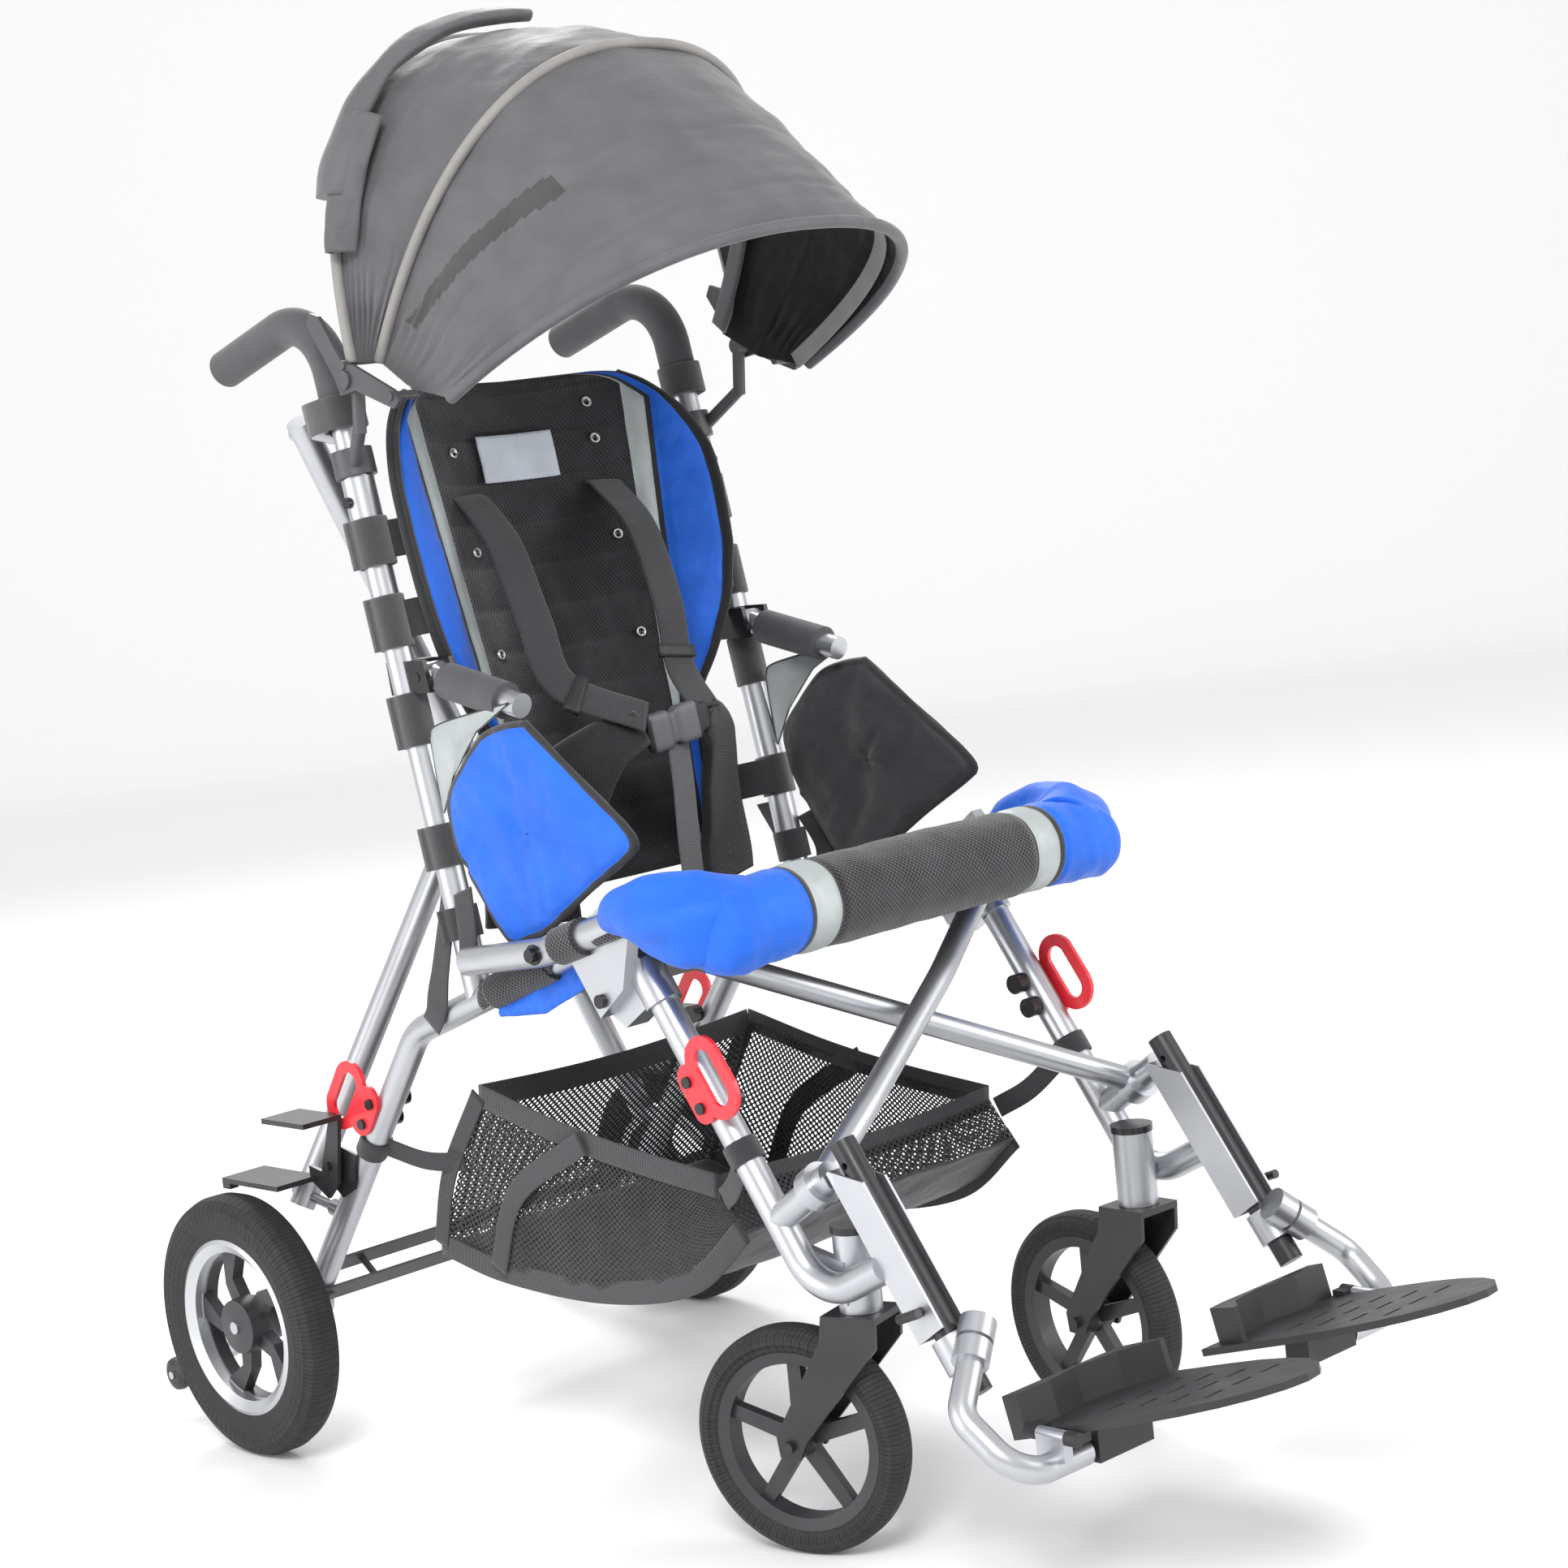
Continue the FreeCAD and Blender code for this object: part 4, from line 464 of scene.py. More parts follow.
def back_pad():
    """Padded back with wings. Front height = crown of each zone, less the sewn channels, plus ripples."""
    rise = np.array([0.038, 0.10, 0.19, 0.232, 0.28, 0.33, 0.38, 0.426, 0.460, 0.485, 0.505, 0.516, 0.520])
    half = np.array([0.118, 0.122, 0.128, 0.156, 0.178, 0.189, 0.192, 0.191, 0.180, 0.165, 0.145, 0.128,
                     0.112])
    rows = np.concatenate([np.linspace(0.038, 0.47, 150), np.linspace(0.473, 0.520, 26)])
    width = np.interp(rows, rise, half)
    width = np.convolve(np.pad(width, 4, mode="edge"), np.ones(9) / 9, mode="valid")
    width[-3:] -= [0.002, 0.006, 0.014]
    seam = np.interp(rows, [0.038, 0.245, 0.502, 0.52], [0.098, 0.104, 0.124, 0.118])
    band = np.interp(rows, [0.038, 0.18, 0.245, 0.50, 0.52], [0.004, 0.006, 0.014, 0.021, 0.012])
    edge = 0.009
    counts = [16, 4, 2, 14, 4]
    grid_front = []
    for a, w, s, b in zip(rows, width, seam, band):
        s, b = min(s, w - 0.022), min(b, w - 0.020 - min(s, w - 0.022))
        cuts = [0.0, s, s + b, s + b + 0.005, w - edge, w]
        xs = np.concatenate([np.linspace(p, q, n, endpoint=False) for p, q,
                             n in zip(cuts, cuts[1:], counts)] + [[w]])
        grid_front.append(xs)
    xs = np.array(grid_front)
    zone_of = np.repeat(range(5), counts)
    a = rows[:, None]
    front = np.full(xs.shape, 0.007)
    start = np.cumsum([0] + counts)
    for k in range(5):
        lo, hi = xs[:, start[k]][:, None], xs[:, start[k + 1]][:, None]
        t = np.clip((xs - lo) / np.maximum(hi - lo, 1e-6), 0, 1)
        here = (xs >= lo) & (xs <= hi)
        crown = (0.0, 0.0018, 0.001, 0.006, 0.003)[k] * np.sqrt(np.clip(4 * t * (1 - t), 0, 1))
        front = front + np.where(here, crown, 0.0)
    phase = (a - 0.022) / 0.0405
    channel = np.abs(np.sin(math.pi * phase)) ** 0.42
    inside = 1 / (1 + np.exp((xs - xs[:, start[1]][:, None] + 0.006) / 0.0025))
    front = front + inside * (0.0052 * channel - 0.003)
    wing = (xs > xs[:, start[3]][:, None]) & (xs < xs[:, start[4]][:, None])
    p0 = pad_point(xs, a, front)
    front = front + np.where(wing, 0.0016 * ripple(p0, 0.075, 3), 0.0004 * ripple(p0, 0.05, 4))
    from_end = np.minimum(rows - rows[0], rows[-1] - rows)[:, None]
    ends = np.minimum(1.0, (from_end + 0.002) / 0.010)
    front = front * np.sqrt(ends) + -0.001 * (1 - ends)
    back = -0.009 * np.sqrt(np.clip(1 - (xs / xs[:, -1:]) ** 10, 0, 1)) * np.sqrt(ends)
    right_front, right_back = pad_point(xs, a, front), pad_point(xs, a, back)
    mirror = np.array([-1, 1, 1])
    loop = np.concatenate([right_front, right_back[:, -2:0:-1], right_back[:, :1],
                           (right_back * mirror)[:, 1:-1],
                           (right_front * mirror)[:, :0:-1]], axis=1)
    cols = loop.shape[1]
    n = xs.shape[1]
    mats = [MESH, STRIPE, BINDING, BLUE, BINDING]

    def zone(i, j):
        if j < n - 1:
            return int(zone_of[j])
        if j >= cols - n + 1:
            return int(zone_of[cols - 1 - j])
        return 2
    pad = surface("back_pad_cover", capped(loop), mats, zone=zone, closed=True)
    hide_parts("back_pad")
    folds(pad)
    for side_name, sign in SIDES:
        line = pad_point(sign * xs[4:-2, -1], rows[4:-2], np.full(len(rows) - 6, 0.0))
        folds(tube("pad_edge_" + side_name, spline(line[::6], 120), 0.0042, BINDING, wide=(0, 1, 0),
                   sides=10))
    for k, (x, h) in enumerate(((0.086, 0.933), (-0.086, 0.933), (0.086, 0.968), (0.086, 0.840),
                                (-0.086, 0.840),
                                (0.086, 0.745), (-0.086, 0.745))):
        eyelet(k, x, (h - POST[1]) / math.cos(math.radians(POST[2])))
    patch()


def eyelet(k, x, along):
    """Brass-free steel eyelet: a small turned ring set in the pad's face, its hole floored by a black disc of
    painted shade.
    """
    middle = pad_point(np.array([x]), along, np.array([0.0108]))[0]
    t = np.linspace(0, 2 * math.pi, 25)[:-1]
    s, c = math.sin(math.radians(POST[2])), math.cos(math.radians(POST[2]))
    up, side = np.array([0, s, c]), unit(np.array([1.0, -x / 0.3, 0]))
    out = np.cross(up, side)
    out = out if out[1] < 0 else -out
    rings = []
    for r, h in ((0.0052, -0.001), (0.0050, 0.0008), (0.0042, 0.0014), (0.0032, 0.0010), (0.0028, -0.0006),
                 (0.0002, -0.0008)):
        rings.append(middle + out * h + r * (np.cos(t)[:, None] * side + np.sin(t)[:, None] * up))
    # painted shade: the innermost faces, the floor of the hole, take the black bolt material
    ring = surface("eyelet_%d" % k, np.array(rings), [ZINC, BOLT], zone=lambda i, j: 1 if i >= 4 else 0,
                   closed=True)
    folds(ring)


def patch():
    """Plain sewn patch, left bare: a thin woven rectangle with a stitched border."""
    u = np.linspace(-0.046, 0.046, 28)
    v = np.linspace(0.424, 0.468, 16)
    x, a = np.meshgrid(u - 0.008, v, indexing="ij")
    border = np.minimum(np.minimum(u - u[0], u[-1] - u)[:, None], np.minimum(v - v[0], v[-1] - v)[None, :])
    lift = 0.0135 + 0.0009 * np.sqrt(np.clip(border / 0.004, 0,
                                             1)) + 0.0005 * ripple(np.stack([x, a, 0 * x], -1), 0.05, 9)
    label = thicken(surface("plain_patch", pad_point(x, a, lift), PATCH), 0.0012)
    folds(label)


def seat_roll():
    """Bolster. Radius = 38.5 mm, less dips at its seams, drawn in at both ends, with folds in the blue caps."""
    xs = np.concatenate([np.linspace(-0.247, -0.156, 60), np.linspace(-0.155, 0.155, 130),
                         np.linspace(0.156, 0.247, 60)])
    t = np.linspace(0, 2 * math.pi, 72, endpoint=False)
    x, a = np.meshgrid(xs, t, indexing="ij")
    r = 0.0385 + 0 * x
    for seam in (-0.158, -0.150, -0.120, 0.120, 0.150, 0.158):
        r -= 0.0022 * bump_at(x, seam, 0.003)
    blue = np.clip((np.abs(x) - 0.158) / 0.03, 0, 1)
    end = np.clip((0.247 - np.abs(x)) / 0.030, 0, 1)
    r *= np.sqrt(1 - (1 - end) ** 2.6) * 0.985 + 0.015
    p = np.stack([x, np.cos(a) * 0.04, np.sin(a) * 0.04], -1)
    r += blue * (0.0018 * ripple(p * [1.6, 1, 1], 0.07, 21, 3) - 0.001)
    r += (1 - blue) * 0.0007 * ripple(p, 0.08, 22)
    sag = -0.006 * blue * np.clip((np.abs(x) - 0.16) / 0.08, 0, 1)
    y = -0.209 + r * np.cos(a)
    z = 0.533 + r * np.sin(a) * np.where(np.sin(a) < 0, 1.0, 0.97) + sag

    def zone(i, j):
        m = abs((x[i, 0] + x[i + 1, 0]) / 2)
        return 0 if m < 0.119 else (2 if m < 0.1225 or 0.150 < m < 0.156 else (1 if m < 0.150 else 3))
    roll = surface("seat_roll_cover", np.stack([x, y, z], -1), [MESH, STRIPE, BINDING, BLUE], zone=zone,
                   closed=True)
    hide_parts("seat_roll")
    folds(roll)
    for side_name, sign in SIDES:
        path = spline([(sign * 0.196, -0.207, 0.534), (sign * 0.224, -0.190, 0.537),
                       (sign * 0.237, -0.160, 0.543),
                       (sign * 0.240, -0.120, 0.545), (sign * 0.240, -0.088, 0.538)], 60)
        k = np.linspace(0, 1, 60)
        size_at = np.interp(k, [0, 0.3, 0.6, 0.9, 1], [0.0365, 0.0395, 0.032, 0.019, 0.012])
        ring = np.linspace(0, 2 * math.pi, 48, endpoint=False)
        creases = 1 + 0.07 * np.sin(5 * ring + 7 * k[:, None]) * np.sin(math.pi * k)[:, None]
        section = size_at[:, None, None] * np.stack([np.cos(ring) * creases, np.sin(ring) * creases], -1)
        grid = capped(sweep(path, section, (0, 0, 1)))
        grid = grid + 0.0013 * ripple(grid, 0.07, 24, 2)[..., None] * np.array([0.5 * sign, 0.3, 0.8])
        tail = surface("roll_tail_" + side_name, grid, BLUE, closed=True)
        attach(tail, side_name + "_frame")


def seat_sling():
    """Mesh seat hung between the rails. Across: a sleeve round each rail, and between them a sagging bed."""
    rows = np.linspace(0.128, -0.176, 90)
    lower = lambda y: 0.412 + (0.243 - y) * 100.0 / 279.0
    upper = lambda y: np.where(y < 0.009, 0.503 + (0.009 - y) * 0.2959, 0.503 - (y - 0.009) * 0.126)
    mix = 1 / (1 + np.exp((rows + 0.030) / 0.010))
    cx = SIDE * (1 - mix) + (RAIL - 0.004) * mix
    cz = lower(rows) * (1 - mix) + (upper(rows) - 0.004) * mix
    wrap = np.radians(np.where(rows > 0.012, 215.0, np.where(rows > -0.058, 60.0, 205.0)))
    wrap = np.convolve(np.pad(wrap, 3, mode="edge"), np.ones(7) / 7, mode="valid")
    grid = []
    for y, x0, z0, w in zip(rows, cx, cz, wrap):
        a = math.pi - 0.25 - np.linspace(1, 0, 22) * w
        sleeve = np.stack([x0 + 0.0155 * np.cos(a), z0 + 0.0155 * np.sin(a)], 1)
        s = np.linspace(0, 1, 30)[1:]
        bed_x = sleeve[-1, 0] * (1 - s)
        dip = 0.030 * (1 - (bed_x / sleeve[-1, 0]) ** 2) ** 0.8
        bed = np.stack([bed_x, sleeve[-1, 1] * (1 - s * 0.0) - dip + 0.002], 1)
        half = np.concatenate([sleeve, bed])
        full = np.concatenate([half, half[-2::-1] * [-1, 1]])
        grid.append(np.stack([full[:, 0], np.full(len(full), y), full[:, 1]], 1))
    grid = np.array(grid)
    grid[..., 2] += 0.0010 * ripple(grid, 0.07, 31)
    bed = surface("seat_sling_cloth", grid, MESH)
    thicken(bed, 0.0022)
    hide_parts("seat_sling")
    folds(bed)
    wrapped = []
    for side_name, sign in SIDES:
        ys = np.linspace(0.118, 0.030, 40)
        path = np.stack([np.full(40, sign * SIDE), ys, lower(ys)], 1)
        sleeves = [tube("lower_sleeve_" + side_name, path, 0.0162, MESH, wide=(1, 0, 0), sides=28)]
        ys = np.linspace(-0.012, -0.046, 24)
        path = np.stack([np.full(24, sign * RAIL), ys, upper(ys)], 1)
        sleeves.append(tube("upper_sleeve_" + side_name, path, 0.0166, MESH, wide=(1, 0, 0), sides=28))
        for sleeve in sleeves:
            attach(sleeve, side_name + "_frame")
        wrapped += sleeves
        v = np.linspace(0, 1, 14)
        ys = np.linspace(0.112, -0.045, 60)
        drop = np.interp(ys, [-0.045, -0.01, 0.05, 0.112], [0.010, 0.026, 0.030, 0.014])
        y, s = np.meshgrid(ys, v, indexing="ij")
        z = lower(ys)[:, None] - 0.010 - s * drop[:, None]
        wave = 0.0022 * ripple(np.stack([y, s * 0.02, 0 * y], -1), 0.05, 33)
        x = sign * (SIDE - 0.002 + 0.008 * np.sin(s * 2.4) + wave)
        flap = surface("seat_flap_" + side_name, np.stack([x, y, z], -1), BLUE)
        thicken(flap, 0.002)
        folds(flap)


def softened(outline, share=0.12):
    """Outline with each corner cut by two points near it, so that a curve keeps its straight sides."""
    points = []
    loop = [np.asarray(p, float) for p in outline]
    for before, here, after in zip(loop[-1:] + loop[:-1], loop, loop[1:] + loop[:1]):
        points += [here + (before - here) * share, here + (after - here) * share]
    return points


def pillow(name, outline, x, half_thick, mats, sign, seed, wrinkle):
    """Sewn pad: rings of its outline shrink to the middle; thickness falls to the seam as a square root."""
    ring = spline(list(outline) + [outline[0]], 121)[:-1]
    middle = ring.mean(axis=0)
    steps = np.array([1.0, 0.985, 0.965, 0.94, 0.93, 0.9, 0.85, 0.78, 0.7, 0.6, 0.5, 0.4, 0.3, 0.2, 0.1,
                      0.01])
    scale = np.concatenate([steps[::-1], steps[1:]])
    face = np.concatenate([np.ones(len(steps)), -np.ones(len(steps) - 1)])
    p = middle + (ring - middle)[None] * scale[:, None, None]
    puff = np.sqrt(np.clip(1 - scale**6, 0, 1)) * (1 - 0.25 * bump_at(scale, 0.935, 0.012))
    q = np.concatenate([np.zeros(p.shape[:2] + (1,)), p], -1)
    depth = half_thick * puff[:, None] + wrinkle * puff[:, None] * ripple(q, 0.07, seed)
    grid = np.concatenate([(x + sign * face[:, None] * depth)[..., None], p], -1)
    n = len(steps)
    zone = lambda i, j: 1 if scale[i] > 0.935 and scale[i + 1] > 0.925 else (0 if i < n - 1 else 2)
    return surface(name, grid, mats, zone=zone, closed=True)


def side_pads():
    outline = [(0.029, 0.700), (0.060, 0.697), (0.094, 0.687), (0.126, 0.660), (0.152, 0.632),
               (0.151, 0.605), (0.143, 0.578), (0.115, 0.536), (0.086, 0.502), (0.058, 0.506),
               (0.027, 0.516), (-0.030, 0.550), (-0.088, 0.582), (-0.101, 0.594), (-0.088, 0.612), (-0.030, 0.655)]
    for side_name, sign in SIDES:
        pad = pillow("side_pad_cover_" + side_name, outline, sign * 0.208, 0.0085,
                     [BLUE, BINDING, CHARCOAL], sign,
                     41 + (sign > 0), 0.0032)
        for v in pad.data.vertices:
            y, z = v.co.y, v.co.z
            line = min(abs((y - 0.118) * 0.80 + (z - 0.59) * 0.6), 0.05) if z < 0.615 else 0.05
            if abs(v.co.x) > 0.208:
                v.co.x -= sign * 0.003 * math.exp(-((line / 0.004) ** 2))
        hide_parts(side_name + "_side_pad")
        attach(pad, side_name + "_frame")
        corners = [(0.170, 0.694), (0.048, 0.716), (0.098, 0.692), (0.156, 0.634), (0.164, 0.610)]
        quad = softened(corners)
        wedge = pillow("side_wedge_" + side_name, quad, sign * 0.2065, 0.0020, [STRIPE, BINDING, STRIPE],
                       sign, 47, 0.0008)
        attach(wedge, side_name + "_frame")


def harness():
    """Shoulder straps, adjusters, hip pads, buckle and crotch strap, each swept along its own smooth path."""
    clip = np.array([0.008, 0.080, 0.664])
    pieces = []
    for sx in (1, -1):
        slot_at = pad_point(np.array([sx * 0.084]), 0.415, np.array([0.006]))[0]
        lip = pad_point(np.array([sx * 0.082]), 0.405, np.array([0.020]))[0]
        if sx > 0:
            mid = [(0.070, 0.170, 0.845), (0.055, 0.128, 0.775), (0.046, 0.110, 0.715)]
        else:
            mid = [(-0.084, 0.185, 0.845), (-0.090, 0.148, 0.775), (-0.092, 0.116, 0.715)]
        path = spline([slot_at, lip] + [np.array(m) for m in mid] + [clip + [sx * 0.036, 0.0, 0.012]], 70)
        wide = np.array([1.0, 0.12 * sx, 0.06 * sx])
        pieces.append(strap("shoulder_strap_" + ("left" if sx > 0 else "right"), path, wide, 0.038, WEB,
                            0.0022))
        ring_path = path[52:56]
        pieces.append(strap("strap_adjuster_" + ("left" if sx > 0 else "right"), ring_path, wide, 0.046,
                            BLACK_PLASTIC, 0.006))
    for sx in (1, -1):
        path = spline([clip + [sx * 0.040, 0.004, 0.004], (sx * 0.070, 0.098, 0.652),
                       (sx * 0.098, 0.130, 0.612),
                       (sx * 0.118, 0.156, 0.560), (sx * 0.122, 0.160, 0.500)], 60)
        width = np.interp(np.linspace(0, 1, 60), [0, 0.12, 0.35, 1], [0.034, 0.044, 0.078, 0.092])
        section = strap_section(1.0, 0.011)[None] * np.stack([width, np.ones(60)], -1)[:, None]
        label = "left" if sx > 0 else "right"
        pad = surface("hip_pad_" + label, capped(sweep(path, section, (0.75 * sx, 0.25, 0.62))),
                      [MESH, BINDING], closed=True,
                      zone=lambda i, j: 1 if j in (0, 1, 6, 7, 8, 9, 14, 15) else 0)
        pieces.append(pad)
    path = spline([clip + [0, 0.002, -0.012], (0.004, 0.076, 0.610), (-0.006, 0.066, 0.555),
                   (-0.014, 0.056, 0.492)], 50)
    pieces.append(strap("crotch_strap", path, (1.0, 0.25, 0.1), 0.032, GREY_WEB, 0.0022))
    u = np.linspace(0, 1, 40)
    half = np.interp(u, [0, 0.04, 0.10, 0.32, 0.36, 0.44, 0.50, 0.80, 0.84, 0.96, 1.0],
                     [0.010, 0.0165, 0.018, 0.018, 0.0145, 0.0145, 0.018, 0.018, 0.013, 0.013, 0.010])
    thick = np.interp(u, [0, 0.06, 0.30, 0.40, 0.50, 0.94, 1.0],
                      [0.003, 0.0065, 0.0075, 0.0055, 0.0075, 0.006, 0.003])
    a = np.linspace(0, 2 * math.pi, 32, endpoint=False)
    round_box = lambda v: np.sign(v) * np.abs(v) ** 0.35
    section = np.stack([half[:, None] * round_box(np.cos(a)), thick[:, None] * round_box(np.sin(a))], -1)
    line = clip + (u[:, None] - 0.5) * np.array([0.074, -0.004, 0.010])
    grey = plastic("buckle_grey", (0.10, 0.10, 0.11), 0.4)
    body = surface("harness_buckle", capped(sweep(line, section, (0, 0, 1))), [grey, BLACK_PLASTIC],
                   closed=True,
                   zone=lambda i, j: 1 if i > 32 or i < 5 else 0)
    pieces.append(body)
    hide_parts("harness")
    for piece in pieces:
        folds(piece)


def basket():
    """Net tray: panels that sag as a sine between taped edges, hung by straps round the four legs."""
    rim = spline([(0.209, 0.347), (0.10, 0.322), (0.0, 0.306), (-0.108, 0.294)], 60)
    floor = spline([(0.294, 0.197), (0.20, 0.181), (0.06, 0.180), (-0.06, 0.204), (-0.134, 0.258)], 60)
    pieces = []
    h = 0.174
    for side_name, sign in SIDES:
        s = np.linspace(0, 1, 26)[None, :, None]
        yz = rim[:, None] * (1 - s) + floor[:, None] * s
        belly = np.sin(np.linspace(0, math.pi, 60))[:, None] * np.sin(math.pi * s[..., 0] * 0.92)
        x = sign * (h - 0.006 + 0.007 * belly + 0.0015 * ripple(np.concatenate([0 * yz[..., :1], yz], -1),
                                                                0.09, 51))
        wall = surface("basket_side_" + side_name, np.concatenate([x[..., None], yz], -1), NET)
        pieces.append(thicken(wall, 0.0009))
        for label, line in (("top", rim), ("low", floor)):
            path = np.concatenate([np.full((60, 1), sign * (h - 0.004)), line], 1)
            pieces.append(strap("basket_tape_%s_%s" % (label, side_name), path, (0, 0, 1), 0.022, WEB))
        back_edge = spline([(sign * (h - 0.003), 0.209, 0.347), (sign * (h + 0.001), 0.262, 0.270),
                            (sign * (h - 0.003), 0.294, 0.197)], 30)
        pieces.append(strap("basket_corner_" + side_name, back_edge, (0, 1, 0.4), 0.020, WEB))
        cross = spline([(sign * (h + 0.002), 0.060, 0.318), (sign * (h + 0.004), 0.16, 0.262),
                        (sign * (h + 0.001), 0.205, 0.185)], 40)
        pieces.append(strap("basket_band_" + side_name, cross, (0, 1, 0.6), 0.022, WEB))
    xs = np.linspace(-h + 0.004, h - 0.004, 50)
    for label, a, b, sag, tall in (("rear", rim[0], floor[0], 0.006, 0.173),
                                   ("front", rim[-1], floor[-1], 0.003, 0.044)):
        s = np.linspace(0, 1, 20)
        x, t = np.meshgrid(xs, s, indexing="ij")
        y = a[0] * (1 - t) + b[0] * t + sag * np.sin(math.pi * t) * np.cos(x / h * 1.5)
        z = a[1] * (1 - t) + b[1] * t - (1 - t) * 0.008 * np.cos(x / h * 1.5)
        panel = thicken(surface("basket_" + label, np.stack([x, y, z], -1), NET), 0.0009)
        pieces.append(panel)
        pieces.append(strap("basket_rim_" + label, np.stack([x[:, 0], y[:, 0], z[:, 0]], -1), (0, 0, 1),
                            0.022, WEB))
    x, k = np.meshgrid(xs, np.arange(60), indexing="ij")
    y, z = floor[k, 0], floor[k, 1] - 0.004 * np.cos(x / h * 1.5) * np.sin(math.pi * k / 59.0)
    z = z + 0.0012 * ripple(np.stack([x, y, z], -1), 0.06, 55)
    base = thicken(surface("basket_floor", np.stack([x, y, z], -1), CHARCOAL), 0.0015)
    pieces.append(base)
    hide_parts("basket")
    rear = (AXLE[0], AXLE[1], -math.degrees(math.atan2(AXLE[0] - KNEE[0], KNEE[1] - AXLE[1])))
    for side_name, sign in SIDES:
        for label, line, at, corner in (("rear", rear, 0.2175, (0.240, 0.282)),
                                        ("front", LEG, 0.062, (-0.116, 0.284))):
            loop_at = lean_point(line, at, 0, sign * SIDE)
            a = np.linspace(0, 2 * math.pi, 40)
            s, c = math.sin(math.radians(line[2])), math.cos(math.radians(line[2]))
            out = np.array([0, -c, s])
            ring = loop_at + 0.0146 * (np.cos(a)[:, None] * np.array([1.0, 0, 0]) + np.sin(a)[:, None] * out)
            loop = surface("leg_loop_%s_%s" % (label, side_name),
                           sweep(ring, strap_section(0.0195, 0.0018), (0, s, c)), WEB, closed=True)
            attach(loop, side_name + "_frame")
            start = np.array([sign * (h - 0.002), corner[0], corner[1]])
            facing = loop_at + unit(start - loop_at) * 0.014
            middle = (start + facing) / 2 + [0, 0, -0.006]
            pieces.append(strap("leg_strap_%s_%s" % (label, side_name),
                                spline([start, middle, facing], 30), (0, s, c), 0.0195, WEB))
    for piece in pieces:
        folds(piece)


ARCHES = ((-0.001, 0.012, 0.232, 0.289, -7.0, 2.6), (-0.002, 0.012, 0.222, 0.296, 13.0, 2.5),
          (-0.006, 0.012, 0.207, 0.296, 32.0, 2.42), (-0.050, -0.014, 0.211, 0.288, 50.0, 2.4),
          (-0.108, -0.027, 0.213, 0.279, 66.5, 2.3))
PIVOT = (0.180, 1.005)


def canopy_point(u, v, inset=0.0):
    """Point of the hood: v, from the rear bow's 0 to the hem's 4, blends the arches; u runs over the arch.
    Each arch is a superellipse: |x/a|^n + (h/b)^n = 1, tilted about the pivot line."""
    table = np.array(ARCHES)
    keys = np.arange(len(table))
    p = [np.interp(v, keys, table[:, k]) for k in range(6)]
    bulge = 0.030 * np.sin(math.pi * np.clip((v - 2) / 2, 0, 1)) * 0.2
    t = math.pi * (u - 0.85 * np.sin(2 * math.pi * u) / (2 * math.pi))
    n = p[5]
    x = np.sign(np.cos(t)) * np.abs(np.cos(t)) ** (2 / n) * (p[2] - inset)
    h = np.clip(np.sin(t), 0, 1) ** (2 / n) * (p[3] - inset + bulge)
    s, c = np.sin(np.radians(p[4])), np.cos(np.radians(p[4]))
    return np.stack([x, PIVOT[0] + p[0] - h * s, PIVOT[1] + p[1] + h * c], -1)


def along_hood(u, v, lift, width, name, mat, thick=0.0018):
    """Tape laid on the hood: it runs over the arch at v, and its width follows the cloth."""
    u, v = np.asarray(u, float), np.broadcast_to(np.asarray(v, float), np.shape(u))
    path = canopy_point(u, v, -lift)
    return strap(name, path, canopy_point(u, v + 0.05, -lift) - canopy_point(u, v - 0.05, -lift), width,
                 mat, thick)


def window_flap():
    """Rear window's flap, rolled up on the hood's top, with its loose near end folded over the corner."""
    count = 60
    t = np.linspace(0, 1, count)
    path = canopy_point(0.50 + 0.235 * t, 0.42 - 0.28 * t, -0.010)
    a = np.linspace(0, 2 * math.pi, 28, endpoint=False)
    size_at = 0.0085 + 0.0045 * t + 0.0010 * np.sin(9 * t) + 0.0008 * np.sin(23 * t)
    section = np.stack([size_at[:, None] * 1.5 * np.cos(a), size_at[:, None] * 0.8 * np.sin(a)], -1)
    section += 0.0009 * np.sin(3 * a + 4 * t[:, None])[..., None]
    rolled = surface("rolled_flap", capped(sweep(path, section, (0, 1, 0.2))), CANOPY, closed=True)
    u, w = np.meshgrid(np.linspace(0.66, 0.79, 40), np.linspace(0, 1, 30), indexing="ij")
    lift = 0.004 + 0.014 * np.sin(math.pi * w) ** 0.8 + 0.003 * ripple(np.stack([u * 2, w * 0.3, 0 * u],
                                                                                -1), 0.3, 71)
    base = canopy_point(u, 0.04 + 0.62 * w, 0.0)
    grid = base + lift[..., None] * unit(base - np.array([0.0, 0.16, 1.10]))
    corner = thicken(surface("flap_corner", grid[::-1], [CANOPY, CANOPY]), 0.0022, offset=0.0)
    return [rolled, corner]


